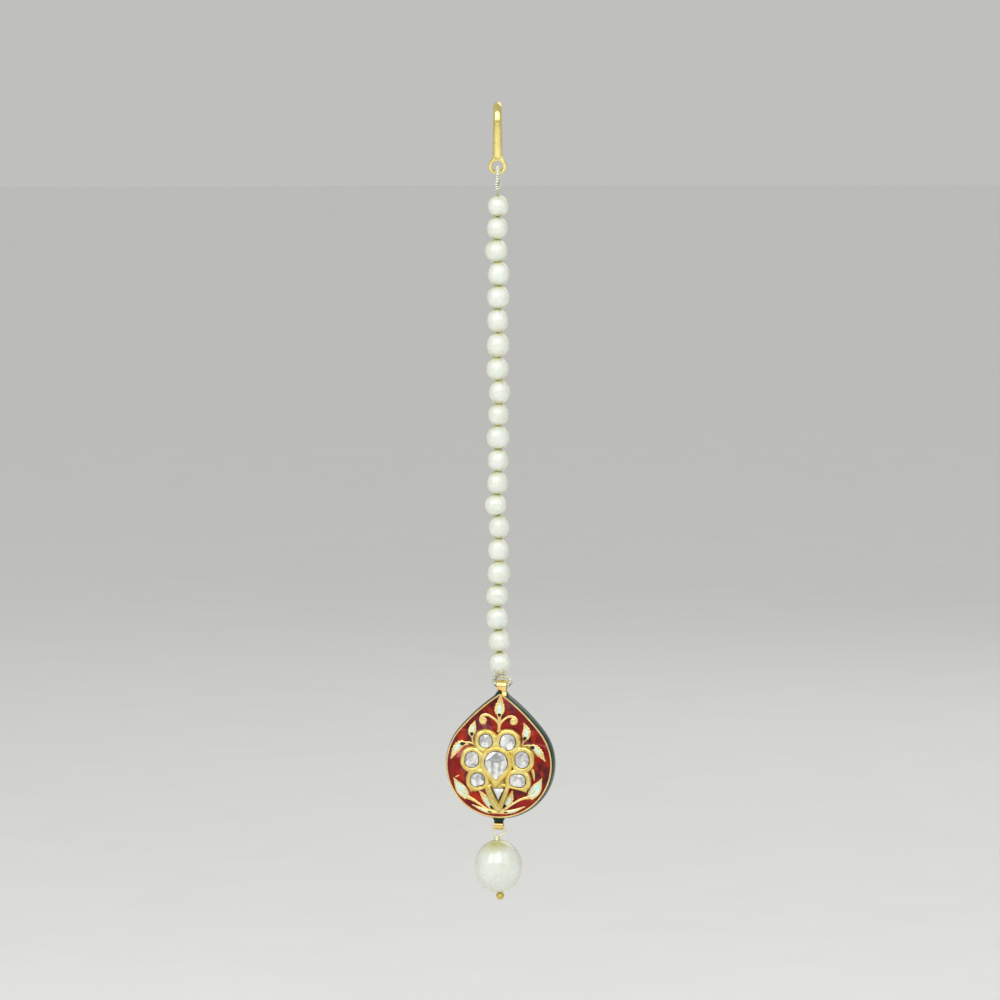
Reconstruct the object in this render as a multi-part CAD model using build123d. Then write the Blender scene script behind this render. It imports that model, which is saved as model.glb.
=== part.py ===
from build123d import *
from collections import namedtuple
from math import asin, atan2, cos, degrees, radians, sin, sqrt, tan
import os

# A maang tikka: a head ornament that hooks into the hair at the parting. Under the wire hook hangs a
# silk string of pearls, then a pear-shaped gold pendant with enamel and flat stones, then one large pearl.
# Millimetres. +Z is up, the face looks along -Y. The origin is the inside top of the hook's bend, where
# the hair holds it, and everything hangs straight down from there.

# ---------------------------------------------------------------- driving dimensions
# Hook: one round wire bent over, with a small ring soldered to its foot.
arm_foot_radius = 0.90
arm_top_radius = 0.80
bend_radius = 2.60          # centreline of the bend
leg_length = 5.0            # the leg that goes into the hair
leg_tip_radius = 0.62
ring_radius = 1.30          # centreline of the soldered ring
ring_wire_radius = 0.35
ring_wire_height = -11.10   # height of the lowest wire of the ring, which carries the string
arm_foot_rise = 2.15        # arm's foot above the ring's centre
solder_width = 1.40         # flat gusset of solder between arm and ring
solder_depth = 0.70
shoulder_width = 3.10       # the gusset where it meets the ring
shoulder_height = 2.05

# Gimp: tubes of fine coiled wire that guard the thread.
gimp_radius = 0.45
gimp_play = 0.06
gimp_bend_radius = 1.20
top_gimp_end = -14.30

# String of pearls
string_top = -15.10
thread_radius = 0.30
thread_neck_radius = 0.42   # the doubled thread that shows above the first pearl
hole_radius = 0.40
contact_radius = 0.80       # flat end on which one pearl sits on the next
pearl_gap = 0.04

# Lower gimp loop, and the pivot of the pendant on it
pivot_side = 0.66
pivot_height = -103.10
lower_loop_width = 2.95
lower_loop_height = 1.60

# Pendant, drawn face up: x to the right, y to the tip, z out of the face, from the centre of its round part
pendant_turn = -9.0         # it hangs turned a little about the vertical
pendant_lean = 1.5          # and leans in its own plane
pendant_radius = 9.60
tip_height = 12.80
tip_round = 0.60
side_radius = 35.0          # the long arcs from the round part to the tip
case_depth = 4.40
flange_depth = 0.45
waist_inset = 0.50
rim_width = 0.33
enamel_recess = 0.30
enamel_below_rim = 0.05
fit_gap = 0.02
side_bulge = 0.35
back_edge_width = 0.50

pivot_rise = 14.20          # pendant's pivot above the centre of its round part
bail_inner_radius = 0.78
bail_wall = 0.45
bail_play = 0.10
bail_width_top = 1.64
bail_width_foot = 0.90
bail_taper_start = -0.35    # measured from the ring's centre
bail_taper_end = -0.95
bail_depth = 0.20           # how far forward of the middle the fittings stand, over the mass centre
neck_depth = 1.50
collar_top = 13.35
collar_waist = 12.60
collar_foot = 11.70
collar_half_width = 0.95
collar_skirt = 1.55         # half width of the collar where it runs into the band
collar_depth = 1.10

tube_drop = 11.20           # lower tube below the centre of the round part
tube_radius = 0.80
tube_hole_radius = 0.45
tube_length = 1.65
boss_width = 1.66
boss_depth = 1.40
foot_neck_width = 0.80

# Kundan setting and stones
setting_height = 1.15       # above the enamel
lobe_height = 1.05
fork_height = 0.95
wall_slope = 12.0           # of the bezel and the fork, in degrees
setting_draft = 0.30        # how much smaller each lobe is at its top
stone_recess = 0.45
stone_thickness = 0.50
stone_bevel = 0.16

# Drop
wire_radius = 0.20
wrap_radius = 0.60
wrap_core_radius = 0.48
drop_lean = -3.1
drop_pin_side = -0.50       # the pin hangs a little to one side of the loop's middle
drop_pin_radius = 0.22
wraps = 3
wrap_pitch = 0.26
drop_pearl_radius = 4.33
drop_pearl_top = -2.42
drop_pearl_widest = -7.36
drop_pearl_foot = -11.81
ball_radius = 0.73
ball_centre = -12.53

# Each pearl of the string: its length along the thread, its width, and how far it sits off the thread.
Pearl = namedtuple("Pearl", "length width shift")
PEARLS = (
    Pearl(3.80, 3.85, 0.10), Pearl(4.10, 3.85, -0.05), Pearl(4.00, 4.20, -0.25),
    Pearl(4.25, 4.05, 0.15), Pearl(4.15, 4.20, 0.05), Pearl(4.25, 3.95, -0.05),
    Pearl(4.45, 4.20, 0.00), Pearl(4.10, 4.15, -0.10), Pearl(4.20, 3.90, 0.25),
    Pearl(3.95, 3.75, 0.05), Pearl(4.20, 4.20, -0.05), Pearl(4.00, 3.90, -0.05),
    Pearl(4.10, 3.90, -0.15), Pearl(3.85, 4.00, -0.45), Pearl(4.10, 3.80, 0.10),
    Pearl(4.15, 3.85, 0.00), Pearl(4.20, 4.20, 0.05), Pearl(3.95, 4.10, -0.25),
    Pearl(4.20, 4.10, -0.25), Pearl(3.95, 4.05, 0.10), Pearl(4.00, 4.00, 0.25),
)

# Round lobes of the setting, each with its stone: place and size on the pendant's face.
Lobe = namedtuple("Lobe", "name x y radius stone_x stone_y stone_width stone_height corner")
LOBES = (
    Lobe("upper_left", -2.40, 4.30, 2.15, -2.35, 4.30, 2.35, 2.45, 0.85),
    Lobe("upper_right", 1.60, 4.30, 2.30, 1.65, 4.25, 2.75, 2.85, 1.05),
    Lobe("left", -4.75, 0.90, 2.15, -4.80, 0.85, 2.40, 2.85, 0.90),
    Lobe("right", 4.40, 1.30, 2.20, 4.35, 1.15, 2.50, 2.95, 1.00),
    Lobe("lower_left", -3.60, -2.95, 2.15, -3.65, -2.80, 2.50, 2.55, 0.95),
    Lobe("lower_right", 3.65, -2.80, 2.30, 3.65, -2.65, 2.90, 2.40, 0.95),
)
# The two lower lobes end in straight sloping edges: a point on each edge, its slope in degrees, and how
# far above that edge the stone's own straight edge lies.
CUTS = {"lower_left": (-3.60, -4.75, 20.0, 0.75), "lower_right": (3.55, -4.25, -11.0, 0.45)}

# The side enamel's swell: how far between its two edges, and what share of the full bulge it has there.
Swell = namedtuple("Swell", "level share")
BULGE = (Swell(-1.0, 0.1), Swell(-0.55, 0.77), Swell(0.0, 1.0), Swell(0.55, 0.77), Swell(1.0, 0.1))

# Centre stone and its bezel: a drop with its point down.
centre_x = -0.35
centre_y = 0.50
centre_stone_radius = 2.07
centre_stone_tip = -3.05
centre_bezel_radius = 2.95
centre_bezel_tip = -4.20
# Pointed stone below it, in the fork of two petals.
POINT_STONE = ((-0.90, -4.35), (0.20, -6.30), (1.20, -4.35))
FORK_OUTER = ((-2.55, -4.15), (-1.75, -6.10), (0.20, -8.55), (1.55, -6.10), (2.05, -4.10))

UPWARDS = (Align.CENTER, Align.CENTER, Align.MIN)
DOWNWARDS = (Align.CENTER, Align.CENTER, Align.MAX)
block = 24.0                # a cutting block, larger than whatever it trims


# ---------------------------------------------------------------- hook
def make_hook():
    """Arm, bend, leg and soldered ring, leaning so that the string hangs right under the bend."""
    inner_radius = bend_radius - arm_top_radius
    reach = -inner_radius - ring_wire_height
    lean = asin(bend_radius / reach)
    bend_height = sqrt(reach ** 2 - bend_radius ** 2)
    foot_height = ring_radius + arm_foot_rise

    arm_length = bend_height - foot_height
    arm = Pos(0, 0, foot_height) * Cone(arm_foot_radius, arm_top_radius, arm_length, align=UPWARDS)
    foot = Pos(0, 0, foot_height) * Sphere(arm_foot_radius)
    whole_bend = Pos(0, bend_radius, bend_height) * Rot(0, 90, 0) * Torus(bend_radius, arm_top_radius)
    upper_half = Pos(0, bend_radius, bend_height) * Box(block, block, block, align=UPWARDS)
    leg_top = Pos(0, 2 * bend_radius, bend_height)
    leg = leg_top * Cone(leg_tip_radius, arm_top_radius, leg_length, align=DOWNWARDS)
    leg_tip = leg_top * Pos(0, 0, -leg_length) * Sphere(leg_tip_radius)
    ring = Pos(0, 0, ring_radius) * Rot(90, 0, 0) * Torus(ring_radius, ring_wire_radius)

    gusset_outline = Polyline(
        (-solder_width / 2, foot_height), (solder_width / 2, foot_height),
        (shoulder_width / 2, shoulder_height), (-shoulder_width / 2, shoulder_height), close=True,
    )
    gusset = extrude(Plane.XZ * make_face(gusset_outline), amount=solder_depth / 2, both=True)
    ring_hole = Pos(0, 0, ring_radius) * Rot(90, 0, 0) * Cylinder(ring_radius, 4 * solder_depth)
    hook = arm + foot + (whole_bend & upper_half) + leg + leg_tip + (gusset - ring_hole) + ring
    return Pos(0, 0, ring_wire_height) * Rot(degrees(lean), 0, 0) * hook


# ---------------------------------------------------------------- gimp, thread and pearls
def make_top_gimp_loop():
    """A hairpin of gimp over the ring's lowest wire, both of its legs running down to the thread."""
    reach = ring_wire_radius + gimp_play + gimp_radius
    leg_side = gimp_radius + gimp_play / 2
    over = Pos(0, 0, ring_wire_height) * Rot(0, 90, 0) * Torus(reach, gimp_radius)
    upper_half = Pos(0, 0, ring_wire_height) * Box(block, block, block, align=UPWARDS)
    hairpin = over & upper_half
    for side in (-1, 1):
        path = FilletPolyline(
            (0, side * reach, ring_wire_height), (0, side * reach, ring_wire_height - 0.9),
            (0, side * leg_side, top_gimp_end + 0.8), (0, side * leg_side, top_gimp_end),
            radius=gimp_bend_radius,
        )
        section = Plane(origin=path @ 0, z_dir=path % 0) * Circle(gimp_radius)
        hairpin += sweep(section, path=path)
    return hairpin


def pearl_profile(radius, half_height):
    """Half an ellipse on the XZ plane, right of the Z axis, centred on the origin."""
    right_half = Pos(radius, 0) * Rectangle(2 * radius, 4 * half_height)
    return Plane.XZ * (Ellipse(radius, half_height) & right_half)


def string_tops():
    """The height of each pearl's top, one after another down the thread."""
    tops = []
    top = string_top
    for pearl in PEARLS:
        tops.append(top)
        top -= pearl.length
    return tops, top


def make_pearl(pearl, top):
    """One drilled pearl, its ends worn flat where it sits on its neighbours."""
    radius = pearl.width / 2
    half_height = pearl.length / 2 / sqrt(1 - (contact_radius / radius) ** 2)
    body = revolve(pearl_profile(radius, half_height), Axis.Z)
    slab = Box(2 * pearl.width, 2 * pearl.width, pearl.length - pearl_gap)
    centre = top - pearl.length / 2
    hole = Pos(0, 0, centre) * Cylinder(hole_radius, 2 * pearl.length)
    return Pos(pearl.shift, 0, centre) * (body & slab) - hole


def make_thread(string_foot):
    """The silk: a thicker neck above the first pearl, then one strand through them all."""
    neck_length = top_gimp_end - string_top - pearl_gap
    neck_foot = Pos(0, 0, string_top + pearl_gap)
    neck = neck_foot * Cylinder(thread_neck_radius, neck_length, align=UPWARDS)
    strand_length = string_top + 2 * pearl_gap - string_foot
    strand = Pos(0, 0, string_foot) * Cylinder(thread_radius, strand_length, align=UPWARDS)
    return neck + strand


def make_lower_gimp_loop():
    """A flat oval of gimp: two straight runs and two half circles. The bail hangs on its lower run."""
    end_radius = lower_loop_height / 2
    half_run = lower_loop_width / 2 - end_radius
    run = 2 * half_run
    parts = []
    for side, outwards in ((-1, Align.MAX), (1, Align.MIN)):
        end = Pos(side * half_run, 0, end_radius)
        outer_half = Box(block, block, block, align=(outwards, Align.CENTER, Align.CENTER))
        parts.append(end * ((Rot(90, 0, 0) * Torus(end_radius, gimp_radius)) & outer_half))
    for height in (0, lower_loop_height):
        parts.append(Pos(0, 0, height) * Rot(0, 90, 0) * Cylinder(gimp_radius, run))
    loop = parts[0] + parts[1] + parts[2] + parts[3]
    return Pos(pivot_side, 0, pivot_height) * Rot(0, 0, pendant_turn) * loop


# ---------------------------------------------------------------- pendant, drawn face up
def outline(grow):
    """The pear outline as a face, moved outwards by grow: every arc keeps its centre."""
    tip_centre = tip_height - tip_round
    to_round = side_radius - pendant_radius
    to_tip = side_radius - tip_round
    arc_y = (to_round ** 2 - to_tip ** 2 + tip_centre ** 2) / (2 * tip_centre)
    arc_x = sqrt(to_round ** 2 - arc_y ** 2)
    radius = side_radius + grow
    low_angle = atan2(-arc_y, arc_x)
    high_angle = atan2(tip_centre - arc_y, arc_x)

    def on_side(angle, side):
        return side * (radius * cos(angle) - arc_x), arc_y + radius * sin(angle)

    middle = (low_angle + high_angle) / 2
    right = [on_side(angle, 1) for angle in (low_angle, middle, high_angle)]
    left = [on_side(angle, -1) for angle in (low_angle, middle, high_angle)]
    edges = (
        ThreePointArc(left[0], (0, -pendant_radius - grow), right[0])
        + ThreePointArc(*right)
        + ThreePointArc(right[2], (0, tip_height + grow), left[2])
        + ThreePointArc(*reversed(left))
    )
    return make_face(edges)


def slab(face, low, high):
    """The face drawn out from height low to height high."""
    return extrude(Pos(0, 0, low) * face, amount=high - low)


half_depth = case_depth / 2
enamel_floor = half_depth - enamel_recess
enamel_face = half_depth - enamel_below_rim
bail_centre = pivot_rise + gimp_radius + bail_play - bail_inner_radius
bail_radius = bail_inner_radius + bail_wall


def make_bail():
    """A strap bent into a ring about the x axis, broad at its top and narrow at its foot."""
    ring = Rot(0, 90, 0) * Cylinder(bail_radius, bail_width_top)
    hole = Rot(0, 90, 0) * Cylinder(bail_inner_radius, 2 * bail_width_top)
    taper = Polyline(
        (-bail_width_top / 2, block), (bail_width_top / 2, block), (bail_width_top / 2, bail_taper_start),
        (bail_width_foot / 2, bail_taper_end), (bail_width_foot / 2, -block),
        (-bail_width_foot / 2, -block), (-bail_width_foot / 2, bail_taper_end),
        (-bail_width_top / 2, bail_taper_start), close=True,
    )
    front = extrude(make_face(taper), amount=2 * bail_radius, both=True)
    return Pos(0, bail_centre, bail_depth) * ((ring - hole) & front)


def neck_block(grow):
    """The narrow gold foot of the bail, down into the case."""
    foot = tip_height - 1.6
    top = bail_centre - bail_inner_radius - 0.12
    return Pos(0, (foot + top) / 2, bail_depth) * Box(
        bail_width_foot + 2 * grow, top - foot, neck_depth + 2 * grow
    )


def foot_block(grow):
    """The gold post from the case down to the lower tube."""
    top = -pendant_radius + 1.0
    foot = -tube_drop + tube_radius / 2
    width = foot_neck_width + 2 * grow
    return Pos(0, (foot + top) / 2, bail_depth) * Box(width, top - foot, width)


def make_case():
    """Gold case: a front rim, a waist and a back plate, with the bail and the lower tube soldered on."""
    case = slab(outline(-waist_inset), -half_depth, half_depth)
    case += slab(outline(0), half_depth - flange_depth, half_depth)
    case += slab(outline(0), -half_depth, flange_depth - half_depth)
    case -= slab(outline(-rim_width), enamel_floor, half_depth + 1)
    case -= slab(outline(-back_edge_width), -half_depth - 1, -enamel_floor)
    tube = Pos(0, -tube_drop, bail_depth) * Rot(0, 90, 0) * Cylinder(tube_radius, tube_length)
    tube_hole = Pos(0, -tube_drop, bail_depth) * Rot(0, 90, 0) * Cylinder(tube_hole_radius, 2 * tube_length)
    return case + make_bail() + neck_block(0) + foot_block(0) + tube - tube_hole


def make_side_enamel():
    """Dark green band that swells out between the case's two edges, with a collar at each fitting."""
    top = half_depth - flange_depth - fit_gap
    sections = [Pos(0, 0, step.level * top) * outline(step.share * side_bulge) for step in BULGE]
    band = loft(sections)
    collar_outline = Polyline(
        (-collar_skirt, collar_foot), (collar_skirt, collar_foot), (collar_half_width, collar_waist),
        (collar_half_width, collar_top), (-collar_half_width, collar_top),
        (-collar_half_width, collar_waist), close=True,
    )
    collar = extrude(make_face(collar_outline), amount=collar_depth / 2, both=True)
    boss_foot = -tube_drop + tube_radius + fit_gap
    boss = Pos(0, (boss_foot - pendant_radius) / 2, bail_depth) * Box(
        boss_width, -pendant_radius - boss_foot, boss_depth
    )
    band = band + collar + boss
    band -= slab(outline(-waist_inset + fit_gap), -half_depth, half_depth)
    bail_disc = Pos(0, bail_centre, bail_depth) * Rot(0, 90, 0) * Cylinder(bail_radius + fit_gap, block)
    return band - neck_block(fit_gap) - foot_block(fit_gap) - bail_disc


def drop_outline(x, y, radius, tip):
    """A drop with its point down: a circle and its two tangents to the tip."""
    reach = y - tip
    lift = asin(radius / reach)
    touch_x, touch_y = radius * cos(lift), y - radius * sin(lift)
    edges = (
        ThreePointArc((x + touch_x, touch_y), (x, y + radius), (x - touch_x, touch_y))
        + Line((x - touch_x, touch_y), (x, tip))
        + Line((x, tip), (x + touch_x, touch_y))
    )
    return make_face(edges)


def polygon(points):
    return make_face(Polyline(*points, close=True))


def below_cut(name, rise):
    """A broad block under a lower lobe's straight edge, moved up by rise."""
    x, y, slope, _ = CUTS[name]
    under = (Align.CENTER, Align.MAX, Align.CENTER)
    return Pos(x, y, 0) * Rot(0, 0, slope) * Pos(0, rise) * Box(block, block, block, align=under)


def stone_solid(face, low, thickness, bevel):
    """A flat stone: its outline drawn out, with a bevelled top edge."""
    stone = slab(face, low, low + thickness)
    top_edges = stone.edges().group_by(Axis.Z)[-1]
    return chamfer(top_edges, bevel)


def lobe_stone_face(lobe, grow):
    corner = lobe.corner + grow
    return Pos(lobe.stone_x, lobe.stone_y) * RectangleRounded(
        lobe.stone_width + 2 * grow, lobe.stone_height + 2 * grow, corner
    )


def make_setting_and_stones():
    """The raised gold setting, one solid, and the stones that sit in its recesses."""
    setting_top = enamel_face + setting_height
    recess_floor = setting_top - stone_recess
    bezel = drop_outline(centre_x, centre_y, centre_bezel_radius, centre_bezel_tip)
    setting = extrude(Pos(0, 0, enamel_face) * bezel, amount=setting_height, taper=wall_slope)
    for lobe in LOBES:
        top_radius = lobe.radius - setting_draft
        body = Pos(lobe.x, lobe.y, enamel_face) * Cone(lobe.radius, top_radius, lobe_height, align=UPWARDS)
        if lobe.name in CUTS:
            body -= below_cut(lobe.name, 0)
        setting += body
    setting += extrude(Pos(0, 0, enamel_face) * polygon(FORK_OUTER), amount=fork_height, taper=wall_slope)

    stones = {}
    for lobe in LOBES:
        recess = slab(lobe_stone_face(lobe, fit_gap), recess_floor, setting_top + 1)
        stone = stone_solid(lobe_stone_face(lobe, 0), recess_floor, stone_thickness, stone_bevel)
        if lobe.name in CUTS:
            rise = CUTS[lobe.name][3]
            recess -= below_cut(lobe.name, rise - fit_gap)
            stone -= below_cut(lobe.name, rise)
        setting -= recess
        stones["stone_" + lobe.name] = stone
    centre = drop_outline(centre_x, centre_y, centre_stone_radius, centre_stone_tip)
    hollow = drop_outline(centre_x, centre_y, centre_stone_radius + fit_gap, centre_stone_tip - 2 * fit_gap)
    setting -= slab(hollow, recess_floor, setting_top + 1)
    stones["stone_centre"] = stone_solid(centre, recess_floor, stone_thickness, stone_bevel)
    point = polygon(POINT_STONE)
    setting -= slab(offset(point, fit_gap, kind=Kind.INTERSECTION), recess_floor, setting_top + 1)
    stones["stone_point"] = stone_solid(point, recess_floor, stone_thickness - 0.1, stone_bevel)
    return setting, stones


# ---------------------------------------------------------------- drop, from its pivot in the lower tube
def make_drop_wire():
    """A head pin: the ball under the pearl, the pin through it, the wraps, and the loop in the tube."""
    slope = tan(radians(pendant_lean - drop_lean))
    meet = drop_pearl_top + 0.75
    route = FilletPolyline(
        (drop_pin_side - 0.06, meet - 0.35), (-1.50, -0.40), (-1.15, 1.15 * slope), (1.02, -1.02 * slope),
        (1.27, -0.80), (drop_pin_side + 0.06, meet - 0.25), radius=(0.40, 0.38, 0.38, 0.55),
    )
    section = Plane(origin=route @ 0, z_dir=route % 0) * Circle(wire_radius)
    loop = Rot(90, 0, 0) * sweep(section, path=route)
    wrap_foot = meet - wraps * wrap_pitch
    pin = Line((0, ball_centre), (drop_pin_radius, ball_centre))
    pin += Line((drop_pin_radius, ball_centre), (drop_pin_radius, wrap_foot))
    pin += Line((drop_pin_radius, wrap_foot), (wrap_core_radius, wrap_foot))
    for turn in range(wraps):
        low = wrap_foot + turn * wrap_pitch
        crest = (wrap_radius, low + wrap_pitch / 2)
        pin += ThreePointArc((wrap_core_radius, low), crest, (wrap_core_radius, low + wrap_pitch))
    pin += Line((wrap_core_radius, meet), (0, meet))
    pin += Line((0, meet), (0, ball_centre))
    body = revolve(Plane.XZ * make_face(pin), Axis.Z) + Pos(0, 0, ball_centre) * Sphere(ball_radius)
    return Pos(drop_pin_side, 0, 0) * body + loop


def make_drop_pearl():
    """The large pearl: an egg with its narrow end up, drilled from top to bottom."""
    upper = revolve(pearl_profile(drop_pearl_radius, drop_pearl_top - drop_pearl_widest), Axis.Z)
    lower = revolve(pearl_profile(drop_pearl_radius, drop_pearl_widest - drop_pearl_foot), Axis.Z)
    above = Box(block, block, block, align=UPWARDS)
    below = Box(block, block, block, align=DOWNWARDS)
    egg = (upper & above) + (lower & below)
    hole = Cylinder(hole_radius, 4 * drop_pearl_radius)
    return Pos(drop_pin_side, 0, drop_pearl_widest) * (egg - hole)


# ---------------------------------------------------------------- everything in its place
def main():
    face_front = Rot(0, pendant_lean, 0) * Rot(0, 0, pendant_turn) * Rot(90, 0, 0)
    hang = Pos(pivot_side, 0, pivot_height) * face_front
    place_pendant = hang * Pos(0, -pivot_rise, -bail_depth)
    tube_centre = (place_pendant * Pos(0, -tube_drop, bail_depth)).position
    wire_drop = tube_hole_radius - wire_radius - fit_gap
    drop_pivot = tube_centre - Vector(0, 0, wire_drop)
    place_drop = Pos(*drop_pivot) * Rot(0, drop_lean, 0) * Rot(0, 0, pendant_turn)

    tops, string_foot = string_tops()
    nodes = {
        "hook": make_hook(),
        "top_gimp_loop": make_top_gimp_loop(),
        "silk_thread": make_thread(string_foot),
        "lower_gimp_loop": make_lower_gimp_loop(),
    }
    for number, (pearl, top) in enumerate(zip(PEARLS, tops), start=1):
        nodes[f"pearl_{number:02d}"] = make_pearl(pearl, top)

    setting, stones = make_setting_and_stones()
    face = outline(-rim_width - fit_gap)
    back = outline(-back_edge_width - fit_gap)
    pendant = {
        "pendant_case": make_case(),
        "side_enamel": make_side_enamel(),
        "front_enamel": slab(face, enamel_floor, enamel_face),
        "back_enamel": slab(back, -enamel_face, -enamel_floor),
        "kundan_setting": setting,
        **stones,
    }
    for name, solid in pendant.items():
        nodes[name] = place_pendant * solid
    nodes["drop_wire"] = place_drop * make_drop_wire()
    nodes["drop_pearl"] = place_drop * make_drop_pearl()

    os.makedirs("parts", exist_ok=True)
    for name, solid in nodes.items():
        export_step(solid, f"parts/{name}.step")
    print("pendant pivot", hang.position, "axis", (hang * Pos(1, 0, 0)).position - hang.position)
    print("drop pivot", drop_pivot)


main()
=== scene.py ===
import math
from collections import namedtuple

import bmesh
import bpy
from mathutils import Matrix, Vector


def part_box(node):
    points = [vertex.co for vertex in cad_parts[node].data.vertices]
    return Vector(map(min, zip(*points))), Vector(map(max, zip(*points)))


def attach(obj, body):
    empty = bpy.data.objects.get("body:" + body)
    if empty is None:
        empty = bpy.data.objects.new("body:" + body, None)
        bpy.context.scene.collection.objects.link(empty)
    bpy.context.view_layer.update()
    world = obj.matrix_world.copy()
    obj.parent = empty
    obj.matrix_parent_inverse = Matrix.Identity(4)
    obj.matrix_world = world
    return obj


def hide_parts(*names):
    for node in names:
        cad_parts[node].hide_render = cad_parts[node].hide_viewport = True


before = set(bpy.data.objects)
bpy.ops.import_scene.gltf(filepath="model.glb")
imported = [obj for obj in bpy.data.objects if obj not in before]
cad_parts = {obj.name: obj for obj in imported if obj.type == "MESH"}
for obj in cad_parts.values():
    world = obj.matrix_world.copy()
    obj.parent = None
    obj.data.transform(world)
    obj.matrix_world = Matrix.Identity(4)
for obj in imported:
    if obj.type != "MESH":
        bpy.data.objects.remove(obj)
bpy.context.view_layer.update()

bl_info = {
    "name": "Maang Tikka",
    "version": (1, 0, 0),
    "blender": (4, 5, 0),
    "location": "View3D > Sidebar > Maang Tikka",
    "description": "Pearls, gold, enamel and flat-cut stones of a maang tikka, built round its CAD model",
    "category": "Object",
}

# Pieces are modelled in millimetres and scaled to metres when they are put in place.
MM = 0.001
# The voxels in which joined parts are melted together, in millimetres.
GRAIN = 0.10


# ---------------------------------------------------------------- colours and sizes a user would change
def linear(code):
    """A hex screen colour as the linear colour that Blender works in."""
    channels = [int(code[i:i + 2], 16) / 255 for i in (1, 3, 5)]
    return tuple(c / 12.92 if c <= 0.04045 else ((c + 0.055) / 1.055) ** 2.4 for c in channels) + (1.0,)


def colour(name, code, description):
    return bpy.props.FloatVectorProperty(
        name=name, description=description, subtype="COLOR", size=4, min=0, max=1, default=linear(code)
    )


def length(name, millimetres, description):
    return bpy.props.FloatProperty(
        name=name, description=description, unit="LENGTH", precision=5, min=0, default=millimetres * MM
    )


class TikkaColours(bpy.types.PropertyGroup):
    gold: colour("Case Gold", "#FFE59A", "Polished gold of the case and its fittings")
    gold_shade: colour("Case Gold Shade", "#EDC583", "Deeper tone that clouds the case's gold")
    hook_gold: colour("Hook Gold", "#FFF0A2", "Polished gold of the hook")
    hook_shade: colour("Hook Gold Shade", "#EBD27C", "Deeper tone that clouds the hook's gold")
    # The bead's darker, greener gold is painted shade, for the dark surroundings that it reflects.
    bead: colour("Bead Gold", "#E0CC74", "Dull gold of the bead under the large pearl")
    bead_shade: colour("Bead Gold Shade", "#BCA650", "Deeper tone that clouds the bead's gold")
    wire: colour("Wire", "#EFEAB6", "Pale gold wire of the drop")
    kundan: colour("Kundan Gold", "#FBEA98", "Pure gold foil burnished round the stones")
    kundan_shade: colour("Kundan Shade", "#E2C364", "Deeper tone of the burnished foil")
    # Kundan Painted Shade is painted shade: it darkens the gold in the creases, at the foot of the bands and
    # on the low petals.
    kundan_painted_shade: colour("Kundan Painted Shade", "#8C7434", "Grimy gold in the hollows of the setting")
    gimp: colour("Gimp", "#F8FAEC", "Fine coiled wire that guards the thread")
    # Gimp Shade is painted shade: random darker patches that stand in for the shade between the turns of the
    # coil.
    gimp_shade: colour("Gimp Shade", "#A8A884", "Where the coiled wire has dulled")
    silk: colour("Silk", "#E9EADC", "Thread through the pearls")
    silk_shade: colour("Silk Shade", "#C9C8AE", "Where the thread has soiled")
    pearl: colour("Pearl", "#E4E9E2", "Body colour of the pearls")
    pearl_rim: colour("Pearl Rim", "#DBD6BC", "Creamier colour towards a pearl's outline")
    pearl_tint: colour("Pearl Tint", "#DFE3D8", "Faint green cloud in the pearls")
    pearl_ends: colour("Pearl Ends", "#C8C686", "Yellower skin round the drill holes")
    green: colour("Green Enamel", "#0E4034", "Transparent green round the case")
    green_shade: colour("Green Shade", "#072A22", "Where the green lies thick")
    red: colour("Red Enamel", "#A81A14", "Transparent red of the front")
    # Red Shade also darkens the red towards the rim.
    red_shade: colour("Red Shade", "#520A0C", "Where the red lies thick")
    red_warm: colour("Warm Red", "#D23C14", "Where the red lies thin over the gold")
    red_pink: colour("Pink Red", "#C4616F", "Milky patches in the red")
    mint: colour("Mint Enamel", "#DCEFE3", "Opaque pale green of the leaves")
    mint_shade: colour("Mint Shade", "#B4DECC", "Deeper tone of the pale green")
    black: colour("Black Enamel", "#0B0A08", "Opaque black at the foot of each leaf")
    stone: colour("Stone", "#FAFAF8", "Flat-cut stones over silver foil")
    # Stone Shade also gives the stones' painted facet shade and the painted shadow along their edges.
    stone_shade: colour("Stone Shade", "#6A6D70", "Clouds in the stones")
    paper: colour("Floor", "#FAFAF8", "Studio floor")


class TikkaSizes(bpy.types.PropertyGroup):
    gimp_wire: length("Gimp Wire", 0.28, "Thickness of the wire that the gimp is coiled from")
    band_width: length("Band Width", 0.98, "Gold band from the edge of a stone to the enamel")
    leaf_relief: length("Leaf Relief", 0.09, "How far the gold foliage stands above the enamel")
    pearl_swell: length("Pearl Unevenness", 0.20, "How far a pearl's skin wanders from a true round")
    silk_ply: length("Silk Ply", 0.24, "Thickness of each ply of the thread")


def millimetres(size):
    return size / MM


def cad_corners(node):
    """The lowest and the highest corner of a CAD node, in millimetres."""
    return [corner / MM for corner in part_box(node)]


# ---------------------------------------------------------------- places, in millimetres and degrees
def turned(angle, axis):
    return Matrix.Rotation(math.radians(angle), 4, axis)


# The hook's ring: its radius, its wire, the height of its lowest wire, and how far the hook leans back.
RING_RADIUS = 1.30
RING_WIRE = 0.35
RING_FOOT = -11.10
HOOK_LEAN = 16.24

# The pendant hangs turned a little aside; its pieces are modelled face up round the middle of its round part.
PENDANT_PIVOT = Vector((0.66, 0, -103.10))
PIVOT_RISE = 14.20
FACE_TURN = -9
FACE_FRONT = turned(1.5, "Y") @ turned(FACE_TURN, "Z") @ turned(90, "X")
PENDANT = Matrix.Translation(PENDANT_PIVOT) @ FACE_FRONT @ Matrix.Translation((0, -PIVOT_RISE, -0.20))

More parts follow.
